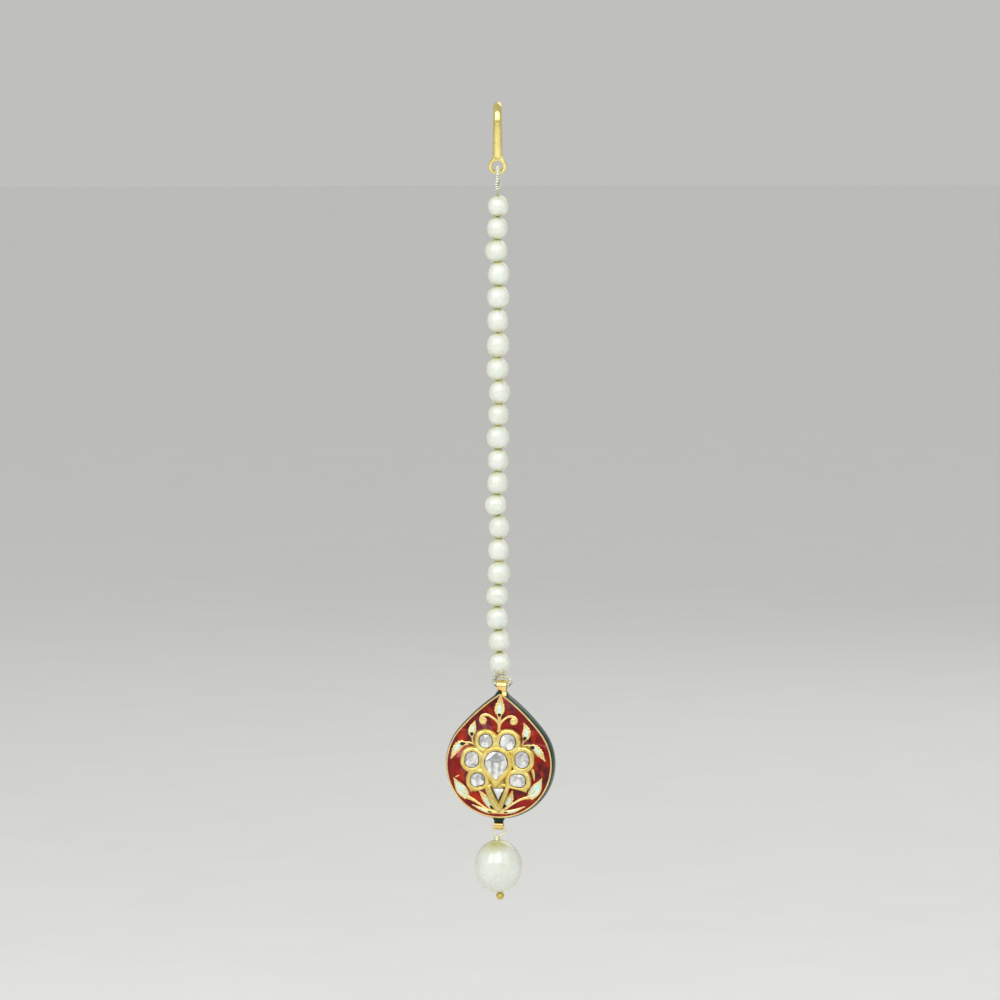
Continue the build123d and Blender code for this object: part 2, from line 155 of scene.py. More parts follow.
# The drop hangs in the lower tube, leans a little, and its pearl sits to one side of its loop.
TUBE_DROP = 11.20
DROP_PIVOT = PENDANT @ Vector((0, -TUBE_DROP, 0.20)) - Vector((0, 0, 0.23))
DROP = Matrix.Translation(DROP_PIVOT) @ turned(-3.1, "Y") @ turned(FACE_TURN, "Z")
DROP_SIDE = -0.50

# Where each body's pieces are put once they are modelled.
PLACES = {"root": Matrix.Identity(4), "pendant": PENDANT, "drop": DROP}

# How high the CAD model's front enamel lies, how high it is finished, and how high the gold bands begin.
CAD_ENAMEL_FACE = 2.15
ENAMEL_FACE = 2.21
BAND_FOOT = ENAMEL_FACE - 0.3


# ---------------------------------------------------------------- drawn shapes, in millimetres
GIMP_RADIUS = 0.48
# Solder between the hook's rod and its ring, a little lopsided, as it flows.
GUSSET = ((-0.62, 3.40), (-1.30, 2.05), (-0.80, 2.32), (0, 2.50), (0.80, 2.32), (1.38, 1.95), (0.80, 3.70))
# The tongue of the bail, soldered to the tip of the case.
BAIL_FOOT = ((0.30, 12.70), (-0.02, 13.45), (0.86, 13.45), (0.98, 12.90), (1.06, 12.32), (0.64, 12.40))
# Where the side enamel has run up the bail's foot and down the lower tube's post: middle of the collar, its
# width, height and depth at the case, and how much narrower it is at its far end.
Collar = namedtuple("Collar", "middle size narrowing outwards")
COLLARS = (
    Collar((0, 12.70, 0.20), (2.90, 1.20, 2.30), 0.50, 1),
    Collar((0, -9.98, 0.20), (2.40, 1.14, 2.20), 0.62, -1),
)

# The stones, drawn face up from the centre of the pendant's round part: a cushion of this width and
# height, with round corners, turned by so many degrees. The cut is the straight lower edge of a lobe.
Stone = namedtuple("Stone", "node x y width height corner turn cut")
Cut = namedtuple("Cut", "x y slope rise")
STONES = (
    Stone("stone_upper_left", -2.35, 4.30, 2.35, 2.45, 1.05, 8, None),
    Stone("stone_upper_right", 1.65, 4.25, 2.75, 2.85, 1.22, -12, None),
    Stone("stone_left", -4.80, 0.85, 2.40, 2.85, 1.10, -6, None),
    Stone("stone_right", 4.35, 1.15, 2.50, 2.95, 1.15, 4, None),
    Stone("stone_lower_left", -3.65, -2.80, 2.50, 2.55, 1.10, 0, Cut(-3.60, -4.75, 20.0, 0.75)),
    Stone("stone_lower_right", 3.65, -2.65, 2.90, 2.40, 1.10, 0, Cut(3.55, -4.25, -11.0, 0.45)),
)
# The centre stone is a drop with its point down, and the lowest stone a triangle.
CENTRE = Vector((-0.35, 0.50))
CENTRE_RADIUS = 2.07
CENTRE_TIP = -3.05
POINT_STONE = ((-1.06, -4.10), (0.18, -6.42), (1.32, -4.10))
# Flat facets polished on a stone's top: direction, tilt, how far from the middle each begins, and its painted
# tone, from painted highlight at 0 to painted shade at 1, for the light that facet catches.
FACETS = (
    (20, 9, 0.25, 0.05), (80, 13, 0.55, 0.50), (145, 8, 0.35, 0.10), (200, 15, 0.50, 0.55),
    (262, 10, 0.20, 0.0), (318, 14, 0.45, 0.35),
)
# The centre stone is fluted below its middle: a flat and three narrow slopes on each side of it, each with its
# painted tone as above, so the flutes show as painted light and dark stripes.
CENTRE_FACETS = (
    (90, 2, 0.0, 0.50), (125, 12, 1.20, 0.25), (55, 12, 1.20, 0.15), (270, 5.7, 0.0, 0.0),
    (286.7, 6.0, 0.10, 0.50), (253.3, 6.0, 0.10, 0.45), (305, 7.0, 0.365, 0.05), (235, 7.0, 0.365, 0.0),
    (324.5, 9.8, 0.81, 0.40), (215.5, 9.8, 0.81, 0.35),
)
# Painted tone of the rest of a stone's top, and the painted shadow along its slanting edge.
TABLE_PAINTED_TONE = 0.22
EDGE_PAINTED_SHADOW = 1.0

# Profile of a kundan band from its wall to the stone: how far in, how far up.
BAND_STEPS = ((0.05, 0.25), (0.12, 0.22), (0.18, 0.14), (0.25, 0.04), (0.20, -0.03), (0.12, -0.10))
# The gold on both sides of the lowest stone, with its tip down, and its lower profile.
FORK = (
    (-2.55, -4.15), (-1.75, -6.10), (-0.35, -8.10), (0.20, -8.65), (0.60, -8.10), (1.55, -6.10),
    (2.05, -4.10), (1.75, -1.20), (-1.80, -1.20),
)
FORK_STEPS = ((0.08, 0.22), (0.16, 0.20), (0.22, 0.05))

# A tapered stroke: points along its middle line and the width at each.
Stroke = namedtuple("Stroke", "points widths")
# Straight gold bars that close the two cut lobes.
BARS = (
    Stroke(((-5.05, -4.70), (-3.3, -4.15), (-1.6, -3.70), (-0.8, -3.75)), (0.85, 0.95, 0.85, 0.30)),
    Stroke(((0.40, -3.75), (1.2, -3.60), (3.0, -3.88), (5.30, -4.42)), (0.30, 0.75, 0.85, 0.80)),
)
# The two petals of gold that meet in a V round the lowest stone.
PETALS = (
    Stroke(((-1.88, -3.9), (-1.44, -5.1), (-0.80, -6.3), (-0.20, -7.4), (0.12, -8.30)),
           (1.05, 1.30, 1.30, 1.00, 0.50)),
    Stroke(((1.78, -3.9), (1.40, -5.1), (0.96, -6.3), (0.62, -7.4), (0.36, -8.25)),
           (0.85, 1.00, 0.98, 0.90, 0.45)),
)
# Gold bedded in the gaps between the bezel and the lobes on each side.
BEDS = (
    Stroke(((1.2, 1.6), (1.75, 0.2), (1.6, -1.4), (1.1, -3.0)), (1.5, 1.5, 1.5, 1.5)),
    Stroke(((-2.0, 1.6), (-2.45, 0.2), (-2.2, -1.4), (-1.6, -3.0)), (1.5, 1.5, 1.5, 1.5)),
)
# These strokes with the height of their middle line and how thick they are.
SETTING_STROKES = ((BARS, 2.62, 1.0), (PETALS, 2.92, 0.70), (BEDS, 2.40, 0.90))

# Foliage on the enamel: a stem between two scrolls at the top, then stalks, long stems and small ticks.
GOLD_STROKES = (
    Stroke(((-0.15, 5.9), (-0.12, 6.8), (-0.08, 7.6), (-0.1, 8.75)), (0.66, 0.50, 0.66, 0.60)),
    Stroke(((-0.15, 7.2), (-0.65, 7.95), (-1.4, 8.5), (-2.15, 8.88), (-2.8, 8.90), (-3.35, 8.5), (-3.42, 7.9),
            (-3.05, 7.5), (-2.6, 7.62)),
           (0.34, 0.38, 0.36, 0.42, 0.58, 0.62, 0.66, 0.66, 0.50)),
    Stroke(((-0.05, 7.2), (0.5, 7.95), (1.15, 8.52), (1.75, 8.78), (2.35, 8.72), (2.85, 8.40), (2.95, 7.95),
            (2.65, 7.62), (2.25, 7.62), (2.0, 7.85)),
           (0.34, 0.38, 0.36, 0.42, 0.50, 0.56, 0.58, 0.60, 0.60, 0.44)),
    Stroke(((-4.3, 3.0), (-4.75, 3.9), (-4.97, 4.9)), (0.34, 0.34, 0.30)),
    Stroke(((-3.3, 2.6), (-4.2, 3.3), (-5.3, 3.8), (-6.4, 3.85)), (0.40, 0.40, 0.34, 0.30)),
    Stroke(((3.6, 3.0), (4.1, 3.6), (4.35, 4.3)), (0.36, 0.36, 0.30)),
    Stroke(((3.0, 2.6), (4.1, 3.35), (5.1, 3.7), (6.0, 3.7)), (0.40, 0.40, 0.34, 0.30)),
    Stroke(((-5.8, -5.95), (-4.7, -6.40), (-3.5, -7.10), (-2.2, -7.90), (-0.6, -8.55)),
           (0.70, 0.52, 0.36, 0.30, 0.26)),
    Stroke(((5.9, -5.60), (4.5, -5.95), (2.95, -6.80), (1.7, -7.75), (0.8, -8.50)),
           (0.60, 0.40, 0.34, 0.30, 0.26)),
    Stroke(((-0.90, -8.70), (-0.30, -8.55), (0.12, -8.48), (0.55, -8.55), (1.15, -8.70)),
           (0.30, 0.55, 0.72, 0.55, 0.30)),
    Stroke(((5.75, -0.2), (6.15, -0.9), (6.35, -1.6), (6.50, -2.6)), (0.20, 0.60, 0.52, 0.14)),
    Stroke(((-7.85, -2.5), (-7.45, -2.30), (-7.15, -2.15)), (0.14, 0.26, 0.14)),
)
# Round knobs of gold in the scrolls.
CURLS = ((-2.85, 8.0), (2.35, 8.02))
CURL_RADIUS = 0.46
# Leaves: gold with a serrated edge, with mint and then black enamel over these shares of the length.
Leaf = namedtuple("Leaf", "points widths filled dark")
LEAVES = (
    Leaf(((-0.1, 8.5), (-0.12, 9.5), (-0.06, 10.6), (0.08, 12.62)),
         (0.50, 1.40, 1.45, 0.24), (0.10, 0.78), (0.06, 0.28)),
    Leaf(((-4.95, 4.7), (-5.05, 5.6), (-4.85, 6.6), (-4.5, 7.8)),
         (0.30, 1.10, 1.10, 0.14), (0.26, 0.84), (0.10, 0.40)),
    Leaf(((4.30, 4.2), (4.75, 5.3), (4.90, 6.4), (4.35, 7.75)),
         (0.30, 1.20, 1.15, 0.14), (0.20, 0.82), (0.08, 0.34)),
    Leaf(((-5.6, 3.6), (-6.9, 3.5), (-7.9, 2.5), (-8.75, 0.75)),
         (0.30, 1.15, 1.15, 0.14), (0.28, 0.78), (0.14, 0.40)),
    Leaf(((5.1, 3.5), (6.3, 3.3), (7.35, 2.4), (8.45, 0.95)),
         (0.30, 1.15, 1.15, 0.14), (0.26, 0.78), (0.12, 0.38)),
    Leaf(((-0.35, -8.6), (-1.4, -7.4), (-2.35, -6.15), (-3.55, -4.65)),
         (0.20, 0.90, 1.0, 0.14), (0.18, 0.76), (0.12, 0.34)),
    Leaf(((0.50, -8.5), (1.4, -7.2), (2.15, -6.1), (2.6, -4.55)),
         (0.20, 1.0, 1.15, 0.14), (0.24, 0.76), (0.14, 0.36)),
    Leaf(((-0.35, -8.70), (-1.7, -8.50), (-3.1, -8.05), (-4.7, -7.38)),
         (0.20, 0.55, 0.50, 0.12), (0.34, 0.82), (0.16, 0.36)),
    Leaf(((0.50, -8.70), (1.7, -8.50), (3.15, -8.15), (4.95, -7.35)),
         (0.20, 0.55, 0.50, 0.12), (0.34, 0.82), (0.16, 0.36)),
)
# The two broad leaves low at the sides: plain edge, mint, and a gold heart over the last share.
BROAD_LEAVES = (
    Leaf(((-5.6, -6.15), (-6.3, -5.2), (-7.1, -4.25), (-8.2, -2.6)),
         (1.10, 1.75, 1.55, 0.12), (0.04, 0.90), (0.16, 0.52)),
    Leaf(((5.75, -5.80), (6.40, -4.8), (7.1, -3.75), (7.9, -2.1)),
         (1.10, 1.85, 1.65, 0.12), (0.04, 0.90), (0.20, 0.56)),
)


# ---------------------------------------------------------------- nodes of a material
def add_node(material, kind, settings=None, feeds=None):
    """Adds a node, with its settings and what feeds each of its sockets, and returns its outputs."""
    tree = material.node_tree
    node = tree.nodes.new(kind)
    for name, value in (settings or {}).items():
        setattr(node, name, value)
    for socket, feed in (feeds or {}).items():
        if isinstance(feed, bpy.types.NodeSocket):
            tree.links.new(feed, node.inputs[socket])
        else:
            node.inputs[socket].default_value = feed
    return node.outputs


def clouds(material, size, detail=2.0, stretch=(1, 1, 1)):
    """Soft random cloud on object coordinates, 0 to 1, with features so many millimetres across."""
    place = add_node(material, "ShaderNodeTexCoord")["Object"]
    place = add_node(material, "ShaderNodeMapping", None, {"Vector": place, "Scale": stretch})[0]
    feeds = {"Vector": place, "Scale": 1 / (size * MM), "Detail": detail}
    return add_node(material, "ShaderNodeTexNoise", None, feeds)["Fac"]


def patches(material, size, low, high, start=0.0, end=1.0, detail=2.0, stretch=(1, 1, 1)):
    """A cloud whose part from low to high is stretched over start to end."""
    cloud = clouds(material, size, detail, stretch)
    feeds = {"Value": cloud, "From Min": low, "From Max": high, "To Min": start, "To Max": end}
    return add_node(material, "ShaderNodeMapRange", None, feeds)[0]


def layered(material, lowest, *layers):
    """A colour with others laid over it in turn, each where its share is 1."""
    seen = lowest
    for share, above in layers:
        seen = add_node(material, "ShaderNodeMix", {"data_type": "RGBA"}, {0: share, 6: seen, 7: above})[2]
    return seen


def relief(material, size, depth, detail=2.0, stretch=(1, 1, 1), before=None):
    """Soft bumps so many millimetres across and deep, over the bumps from before."""
    feeds = {"Height": clouds(material, size, detail, stretch), "Distance": depth * MM, "Strength": 1.0}
    if before is not None:
        feeds["Normal"] = before
    return add_node(material, "ShaderNodeBump", None, feeds)[0]


# ---------------------------------------------------------------- materials: what feeds each surface
def buffed(gold, first, second):
    """High-carat gold, filed, buffed and worn: clear reflections, softly clouded by fine scratches."""
    return {
        "Base Color": layered(gold, first, (patches(gold, 2.5, 0.35, 0.7), second)),
        "Metallic": 1.0,
        "Roughness": patches(gold, 0.12, 0.3, 0.7, 0.16, 0.30, 4, (1, 1, 0.25)),
        "Normal": relief(gold, 0.9, 0.012, 3),
    }


def polished_case_gold(gold, colours):
    """Reddish gold of the case, soldered and buffed."""
    return buffed(gold, colours.gold, colours.gold_shade)


def polished_hook_gold(gold, colours):
    """Lemon-yellow, nearly pure gold of the hook, forged and buffed."""
    return buffed(gold, colours.hook_gold, colours.hook_shade)


def shaded_bead_gold(gold, colours):
    """Gold of the bead under the large pearl, painted darker and greener: painted shade for the dark
    surroundings it reflects.
    """
    return buffed(gold, colours.bead, colours.bead_shade)


def drawn_gold_wire(gold, colours):
    """Pale gold wire, drawn and bent cold: smooth along its length, a little duller than the polished gold."""
    return buffed(gold, colours.gimp, colours.wire)


def burnished_kundan_gold(foil, colours):
    """Pure gold foil pressed round the stones by hand: soft broad highlights, dents of the burnisher."""
    # Painted shade: the gold is darkened in the creases, at the foot of the bands and on the low petals.
    painted_crease_shade = add_node(foil, "ShaderNodeAttribute", {"attribute_name": "painted_crease_shade"})["Fac"]
    worn = patches(foil, 1.4, 0.35, 0.68, detail=3)
    layers = ((worn, colours.kundan_shade), (painted_crease_shade, colours.kundan_painted_shade))
    return {
        "Base Color": layered(foil, colours.kundan, *layers),
        "Metallic": 1.0,
        "Roughness": patches(foil, 0.25, 0.3, 0.7, 0.26, 0.40, 3),
        "Normal": relief(foil, 0.2, 0.004, 3, before=relief(foil, 0.7, 0.035)),
    }


def engraved_gold(gold, colours):
    """Gold left standing between the enamels and scraped flush with them: finely toothed, a little dull."""
    tone = patches(gold, 0.5, 0.35, 0.68, detail=3)
    return {
        "Base Color": layered(gold, colours.kundan, (tone, colours.gold_shade)),
        "Metallic": 1.0,
        "Roughness": 0.34,
        "Normal": relief(gold, 0.22, 0.015, 3),
    }


def drawn_gimp_wire(wire, colours):
    """Pale silver-gilt wire drawn hair thin and coiled: each turn catches its own small light."""
    return {
        # Painted shade: random darker patches for the shade between the turns.
        "Base Color": layered(wire, colours.gimp, (patches(wire, 0.8, 0.45, 0.75), colours.gimp_shade)),
        "Metallic": 1.0,
        "Roughness": patches(wire, 0.1, 0.3, 0.7, 0.34, 0.48),
        "Normal": relief(wire, 0.08, 0.003),
    }


def twisted_silk(silk, colours):
    """Reeled silk, twisted and a little soiled: soft sheen, the fibres too fine to show one by one."""
    # Silk fibres are 0.01 mm; they are drawn at 0.05 mm so that they show.
    return {
        "Base Color": layered(silk, colours.silk, (patches(silk, 0.6, 0.3, 0.7), colours.silk_shade)),
        "Roughness": 0.62,
        "Sheen Weight": 0.35,
        "Normal": relief(silk, 0.05, 0.02, 3, (1, 1, 0.15)),
    }


def drilled_pearl(nacre, colours):
    """Natural pearl, its nacre polished by wear: deep soft lustre, and yellower skin round the drill holes."""
    tint = patches(nacre, 3.0, 0.42, 0.72)
    # Seen at a slant the light crosses more layers of nacre, so the outline is creamier than the middle.
    slant = add_node(nacre, "ShaderNodeLayerWeight", None, {"Blend": 0.35})["Facing"]
    rim = add_node(nacre, "ShaderNodeMapRange", None, {"Value": slant, "From Min": 0.25, "From Max": 0.90})[0]
    ends = add_node(nacre, "ShaderNodeAttribute", {"attribute_name": "drill_end"})["Fac"]
    layers = ((tint, colours.pearl_tint), (rim, colours.pearl_rim), (ends, colours.pearl_ends))
    return {
        "Base Color": layered(nacre, colours.pearl, *layers),
        "Roughness": patches(nacre, 1.2, 0.3, 0.7, 0.20, 0.34, 3),
        "Specular IOR Level": 0.6,
        "Subsurface Weight": 0.6,
        "Subsurface Radius": (1.0, 0.92, 0.55),
        "Subsurface Scale": MM,
        "Coat Weight": 0.8,
        "Coat Roughness": 0.14,
        "Coat IOR": 1.62,
        "Normal": relief(nacre, 1.2, 0.004, 3),
    }


def fired_green_enamel(glass, colours):
    """Transparent green glass fused on gold: nearly black where thick, under a wet-looking gloss."""
    return {
        "Base Color": layered(glass, colours.green, (patches(glass, 2.2, 0.38, 0.66), colours.green_shade)),
        "Metallic": 0.6,
        "Roughness": 0.30,
        "Specular IOR Level": 0.3,
        "Coat Weight": 0.25,
        "Coat Roughness": 0.05,
        "Coat Normal": relief(glass, 1.6, 0.03),
    }


def fired_red_enamel(glass, colours):
    """Transparent red glass over engraved gold: mottled from blood red to orange, with milky pink patches."""
    thick = patches(glass, 2.4, 0.40, 0.60, detail=3)
    warm = patches(glass, 3.0, 0.52, 0.70, stretch=(1.3, 1, 0.8))
    milky = patches(glass, 3.2, 0.58, 0.72, 0.0, 0.8, 3, (0.9, 1, 1.1))
    # The red is darkened towards the rim, from 6.6 mm to 9.3 mm out from the middle of the round part.
    place = add_node(glass, "ShaderNodeTexCoord")["Object"]
    centre = PENDANT @ Vector((0, 0, ENAMEL_FACE)) * MM
    out = add_node(glass, "ShaderNodeVectorMath", {"operation": "DISTANCE"}, {0: place, 1: centre})["Value"]
    feeds = {"Value": out, "From Min": 6.6 * MM, "From Max": 9.3 * MM, "To Max": 0.5}
    rimward = add_node(glass, "ShaderNodeMapRange", None, feeds)[0]
    layers = (
        (thick, colours.red_shade), (warm, colours.red_warm),
        (milky, colours.red_pink), (rimward, colours.red_shade),
    )
    return {
        "Base Color": layered(glass, colours.red, *layers),
        "Metallic": 0.55,
        "Roughness": 0.32,
        # The gold under the glass is cut with fine strokes, about 0.25 mm apart, that flash through it.
        "Normal": relief(glass, 0.25, 0.03, stretch=(1, 1, 0.4)),
        "Specular IOR Level": 0.2,
        "Coat Weight": 0.35,
        "Coat Roughness": 0.04,
        "Coat Normal": relief(glass, 1.2, 0.02),
    }


def fired_mint_enamel(glass, colours):
    """Opaque pale green glass, ground level and fired again: even and milky, softly glossy."""
    tone = patches(glass, 0.6, 0.45, 0.75, detail=3)
    return {
        "Base Color": layered(glass, colours.mint, (tone, colours.mint_shade)),
        "Roughness": 0.32,
        "Subsurface Weight": 0.1,
        "Subsurface Scale": 0.2 * MM,
        "Coat Weight": 0.8,
        "Coat Roughness": 0.08,
        "Normal": relief(glass, 0.3, 0.008),
    }


def fired_black_enamel(glass, colours):
    """Opaque black glass in small touches: deep and glossy."""
    return {
        "Base Color": layered(glass, colours.black, (patches(glass, 0.3, 0.4, 0.8), colours.green_shade)),
        "Roughness": 0.22,
        "Specular IOR Level": 0.3,
        "Coat Weight": 0.3,
        "Coat Roughness": 0.06,
        "Normal": relief(glass, 0.25, 0.006),
    }


def foil_backed_diamond(stone, colours):
    """Flat-cut diamond over silver foil: grey-white, cloudy inside, its few flat facets flashing."""
    # Each facet is painted a little lighter or darker than its neighbours, painted highlight and shade for the
    # light it catches, over a random cloud inside.
    facet = add_node(stone, "ShaderNodeAttribute", {"attribute_name": "facet"})["Fac"]
    inside = patches(stone, 0.9, 0.42, 0.72, 0.0, 0.5, 4)
    added = {"operation": "MULTIPLY_ADD", "use_clamp": True}
    depth = add_node(stone, "ShaderNodeMath", added, {0: facet, 1: 0.75, 2: inside})[0]
    return {
        "Base Color": layered(stone, colours.stone, (depth, colours.stone_shade)),
        "Metallic": 0.8,
        "Roughness": patches(stone, 0.5, 0.35, 0.7, 0.10, 0.26),
        "Normal": relief(stone, 0.8, 0.03, 1),
        "Coat Weight": 1.0,
        "Coat IOR": 1.7,
        "Coat Roughness": 0.03,
    }


def matt_paper(paper, colours):
    """Matt background paper: pale, with a faint tooth."""
    tone = patches(paper, 20, 0.3, 0.8, 0.0, 0.03, 3)
    return {
        "Base Color": layered(paper, colours.paper, (tone, colours.stone_shade)),
        "Roughness": 0.8,
        "Normal": relief(paper, 0.8, 0.02, 3),
    }


MATERIALS = {maker.__name__: maker for maker in (
    polished_case_gold, polished_hook_gold, shaded_bead_gold, drawn_gold_wire, burnished_kundan_gold,
    engraved_gold, drawn_gimp_wire, twisted_silk, drilled_pearl, fired_green_enamel, fired_red_enamel,
    fired_mint_enamel, fired_black_enamel, foil_backed_diamond, matt_paper,
)}


def finish(name):
    """The material of that name, made the first time it is asked for."""
    made = bpy.data.materials.get(name)
    if made:
        return made
    material = bpy.data.materials.new(name)
    material.use_nodes = True
    material.node_tree.nodes.clear()
    feeds = MATERIALS[name](material, bpy.context.scene.tikka_colours)
    surface = add_node(material, "ShaderNodeBsdfPrincipled", None, feeds)[0]
    add_node(material, "ShaderNodeOutputMaterial", None, {"Surface": surface})
    return material


# ---------------------------------------------------------------- modelling helpers
def only(*pieces):
    """Selects these objects and nothing else; the first is the active one."""
    bpy.ops.object.select_all(action="DESELECT")
    for piece in pieces:
        piece.select_set(True)
    bpy.context.view_layer.objects.active = pieces[0]


def everything():
    """In edit mode, selects the whole mesh."""
    bpy.ops.mesh.select_all(action="SELECT")


def begin(add, **settings):
    """Adds a primitive with nothing else selected, its place in its mesh, and opens it in edit mode."""
    bpy.ops.object.select_all(action="DESELECT")
    add(**settings)
    bpy.ops.object.transform_apply(location=True, rotation=True, scale=True)
    bpy.ops.object.mode_set(mode="EDIT")
    return bpy.context.object


def edit(piece):
    """Opens a piece in edit mode, all of it selected."""
    only(piece)
    bpy.ops.object.mode_set(mode="EDIT")
    everything()


def done():
    bpy.ops.object.mode_set(mode="OBJECT")


def solid(add, **settings):
    """Adds a primitive and leaves it as it is."""
    piece = begin(add, **settings)
    done()
    return piece


def move(piece, place):
    """Moves a piece, and works the move into its mesh."""
    only(piece)
    piece.matrix_world = place
    bpy.ops.object.transform_apply(location=True, rotation=True, scale=True)


def pick(kind, test):
    """In edit mode, selects the faces, edges or vertices for which test is true, and nothing else."""
    bpy.ops.mesh.select_mode(type=kind)
    bpy.ops.mesh.select_all(action="DESELECT")
    mesh = bmesh.from_edit_mesh(bpy.context.object.data)
    found = False
    for item in {"VERT": mesh.verts, "EDGE": mesh.edges, "FACE": mesh.faces}[kind]:
        if test(item):
            item.select_set(True)
            found = True
    mesh.select_flush_mode()
    bmesh.update_edit_mesh(bpy.context.object.data)
    if not found:
        raise RuntimeError(f"nothing to select on {bpy.context.object.name}")


def extrude(way):
    bpy.ops.mesh.extrude_region_move(TRANSFORM_OT_translate={"value": way})


def resize(value, centre):
    bpy.ops.transform.resize(value=value, center_override=centre)


def turn(angle, axis, centre):
    """Turns the selection the right-hand way; without a window the operator turns the other way."""
    bpy.ops.transform.rotate(value=-math.radians(angle), orient_axis=axis, center_override=centre)


def tidy():
    """Closes seams and points the faces outwards."""
    everything()
    bpy.ops.mesh.remove_doubles(threshold=0.0005)
    bpy.ops.mesh.normals_make_consistent(inside=False)


def seal(piece):
    """Merges a piece's seams, fills its open ends and points its faces outwards."""
    edit(piece)
    tidy()
    bpy.ops.mesh.fill_holes(sides=0)
    bpy.ops.mesh.normals_make_consistent(inside=False)
    done()


def shape(piece, kind, **settings):
    """Adds a modifier and applies it."""
    only(piece)
    modifier = piece.modifiers.new(kind.title(), kind)
    for name, value in settings.items():
        setattr(modifier, name, value)
    bpy.ops.object.modifier_apply(modifier=modifier.name)


def melt(piece):
    """Lets joined parts run together, as solder, pressed foil and fired enamel do."""
    shape(piece, "REMESH", mode="VOXEL", voxel_size=GRAIN, adaptivity=0.0)
    shape(piece, "SMOOTH", factor=0.5, iterations=5)
    bpy.ops.object.shade_smooth()


def clamped(value):
    return max(0.0, min(1.0, value))


def copy_of(piece):
    """A copy with a mesh of its own."""
    twin = piece.copy()
    twin.data = piece.data.copy()
    bpy.context.collection.objects.link(twin)
    return twin


def join(pieces):
    only(*pieces)
    bpy.ops.object.join()
    return pieces[0]


def smooth(piece, angle=35):
    """Shades a piece smooth, apart from edges sharper than this many degrees."""
    only(piece)
    bpy.ops.object.shade_smooth_by_angle(angle=math.radians(angle))


def settle(piece, name, body, material, replaced=()):
    """Puts a piece modelled in millimetres in its place on a body of the ornament, with its material."""
    move(piece, Matrix.Scale(MM, 4) @ PLACES[body])
    piece.name = piece.data.name = name
    piece.data.materials.clear()
    piece.data.materials.append(finish(material))
    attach(piece, body)
    if replaced:
        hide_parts(*replaced)
    return piece


def dress(node, material):
    """Gives a CAD node its material."""
    for material_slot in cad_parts[node].material_slots:
        material_slot.material = finish(material)


def smooth_line(points, radii, closed=False):
    """A curve that passes smoothly through points in space, with a radius at each."""
    bpy.ops.object.select_all(action="DESELECT")
    bpy.ops.curve.primitive_bezier_curve_add()
    line = bpy.context.object
    spline = line.data.splines[0]
    spline.bezier_points.add(len(points) - 2)
    for knot, point, radius in zip(spline.bezier_points, points, radii):
        knot.co = point
        knot.handle_left_type = knot.handle_right_type = "AUTO"
        knot.radius = radius
    spline.use_cyclic_u = closed
    line.data.dimensions = "3D"
    line.data.resolution_u = 10
    return line


def tube_along(line, roundness):
    """Turns a curve into a tube whose radius is the curve's radius, in millimetres."""
    line.data.bevel_depth = 1.0
    line.data.bevel_resolution = roundness
    line.data.use_fill_caps = True
    only(line)
    bpy.ops.object.convert(target="MESH")
    tube = bpy.context.object
    seal(tube)
    return tube


def coil_along(line, coil_radius, wire_radius, pitch):
    """Winds a helix of fine wire round a curve: its section is screwed up a post, which follows the line."""
    run = line.data.splines[0].calc_length()
    turns = round(run / pitch)
    coil = solid(
        bpy.ops.mesh.primitive_circle_add, vertices=8, radius=wire_radius,
        location=(coil_radius - wire_radius, 0, 0), rotation=(math.pi / 2, 0, 0),
    )
    shape(coil, "SCREW", axis="Z", angle=math.tau, screw_offset=run / turns, iterations=turns,
          steps=16, render_steps=16, use_merge_vertices=False)
    shape(coil, "CURVE", object=line, deform_axis="POS_Z")
    seal(coil)
    return coil


# ---------------------------------------------------------------- pieces
class TIKKA_OT_hook(bpy.types.Operator):
    """Bends the hook from one tapering rod and solders its ring on"""
    bl_idname = "tikka.hook"
    bl_label = "Hook"

    def execute(self, context):
        parts = [*self.rod(), self.ring(), self.solder()]
        hook = join(parts)
        melt(hook)
        move(hook, Matrix.Translation((0, 0, RING_FOOT)) @ turned(HOOK_LEAN, "X"))
        settle(hook, "hook_rod", "root", "polished_hook_gold", ("hook",))
        return {"FINISHED"}

    def rod(self):
        """A tapering tube that rises, turns over in a half circle and comes down, with rounded ends."""
        bend, bend_height, leg = 2.60, 8.93, 5.0
        knots = [((0, 0, 3.45), 0.90), ((0, 0, 5.3), 0.87), ((0, 0, 7.2), 0.83)]
        for step in range(7):
            angle = math.pi * step / 6
            place = (0, bend - bend * math.cos(angle), bend_height + bend * math.sin(angle))
            knots.append((place, 0.80))
        knots += [((0, 2 * bend, bend_height - leg / 2), 0.71), ((0, 2 * bend, bend_height - leg), 0.62)]
        parts = [tube_along(smooth_line(*zip(*knots)), 7)]
        for end, radius in (knots[0], knots[-1]):
            parts.append(solid(
                bpy.ops.mesh.primitive_uv_sphere_add, segments=32, ring_count=20, radius=radius, location=end,
            ))
        return parts

    def ring(self):
        return solid(
            bpy.ops.mesh.primitive_torus_add, major_segments=72, minor_segments=24, major_radius=RING_RADIUS,
            minor_radius=RING_WIRE, location=(0, 0, RING_RADIUS), rotation=(math.pi / 2, 0, 0),
        )

    def solder(self):
        thickness = 0.72
        gusset = outline_face(GUSSET, -thickness / 2)
        extrude((0, 0, thickness))
        tidy()
        done()
        move(gusset, turned(90, "X"))
        return gusset


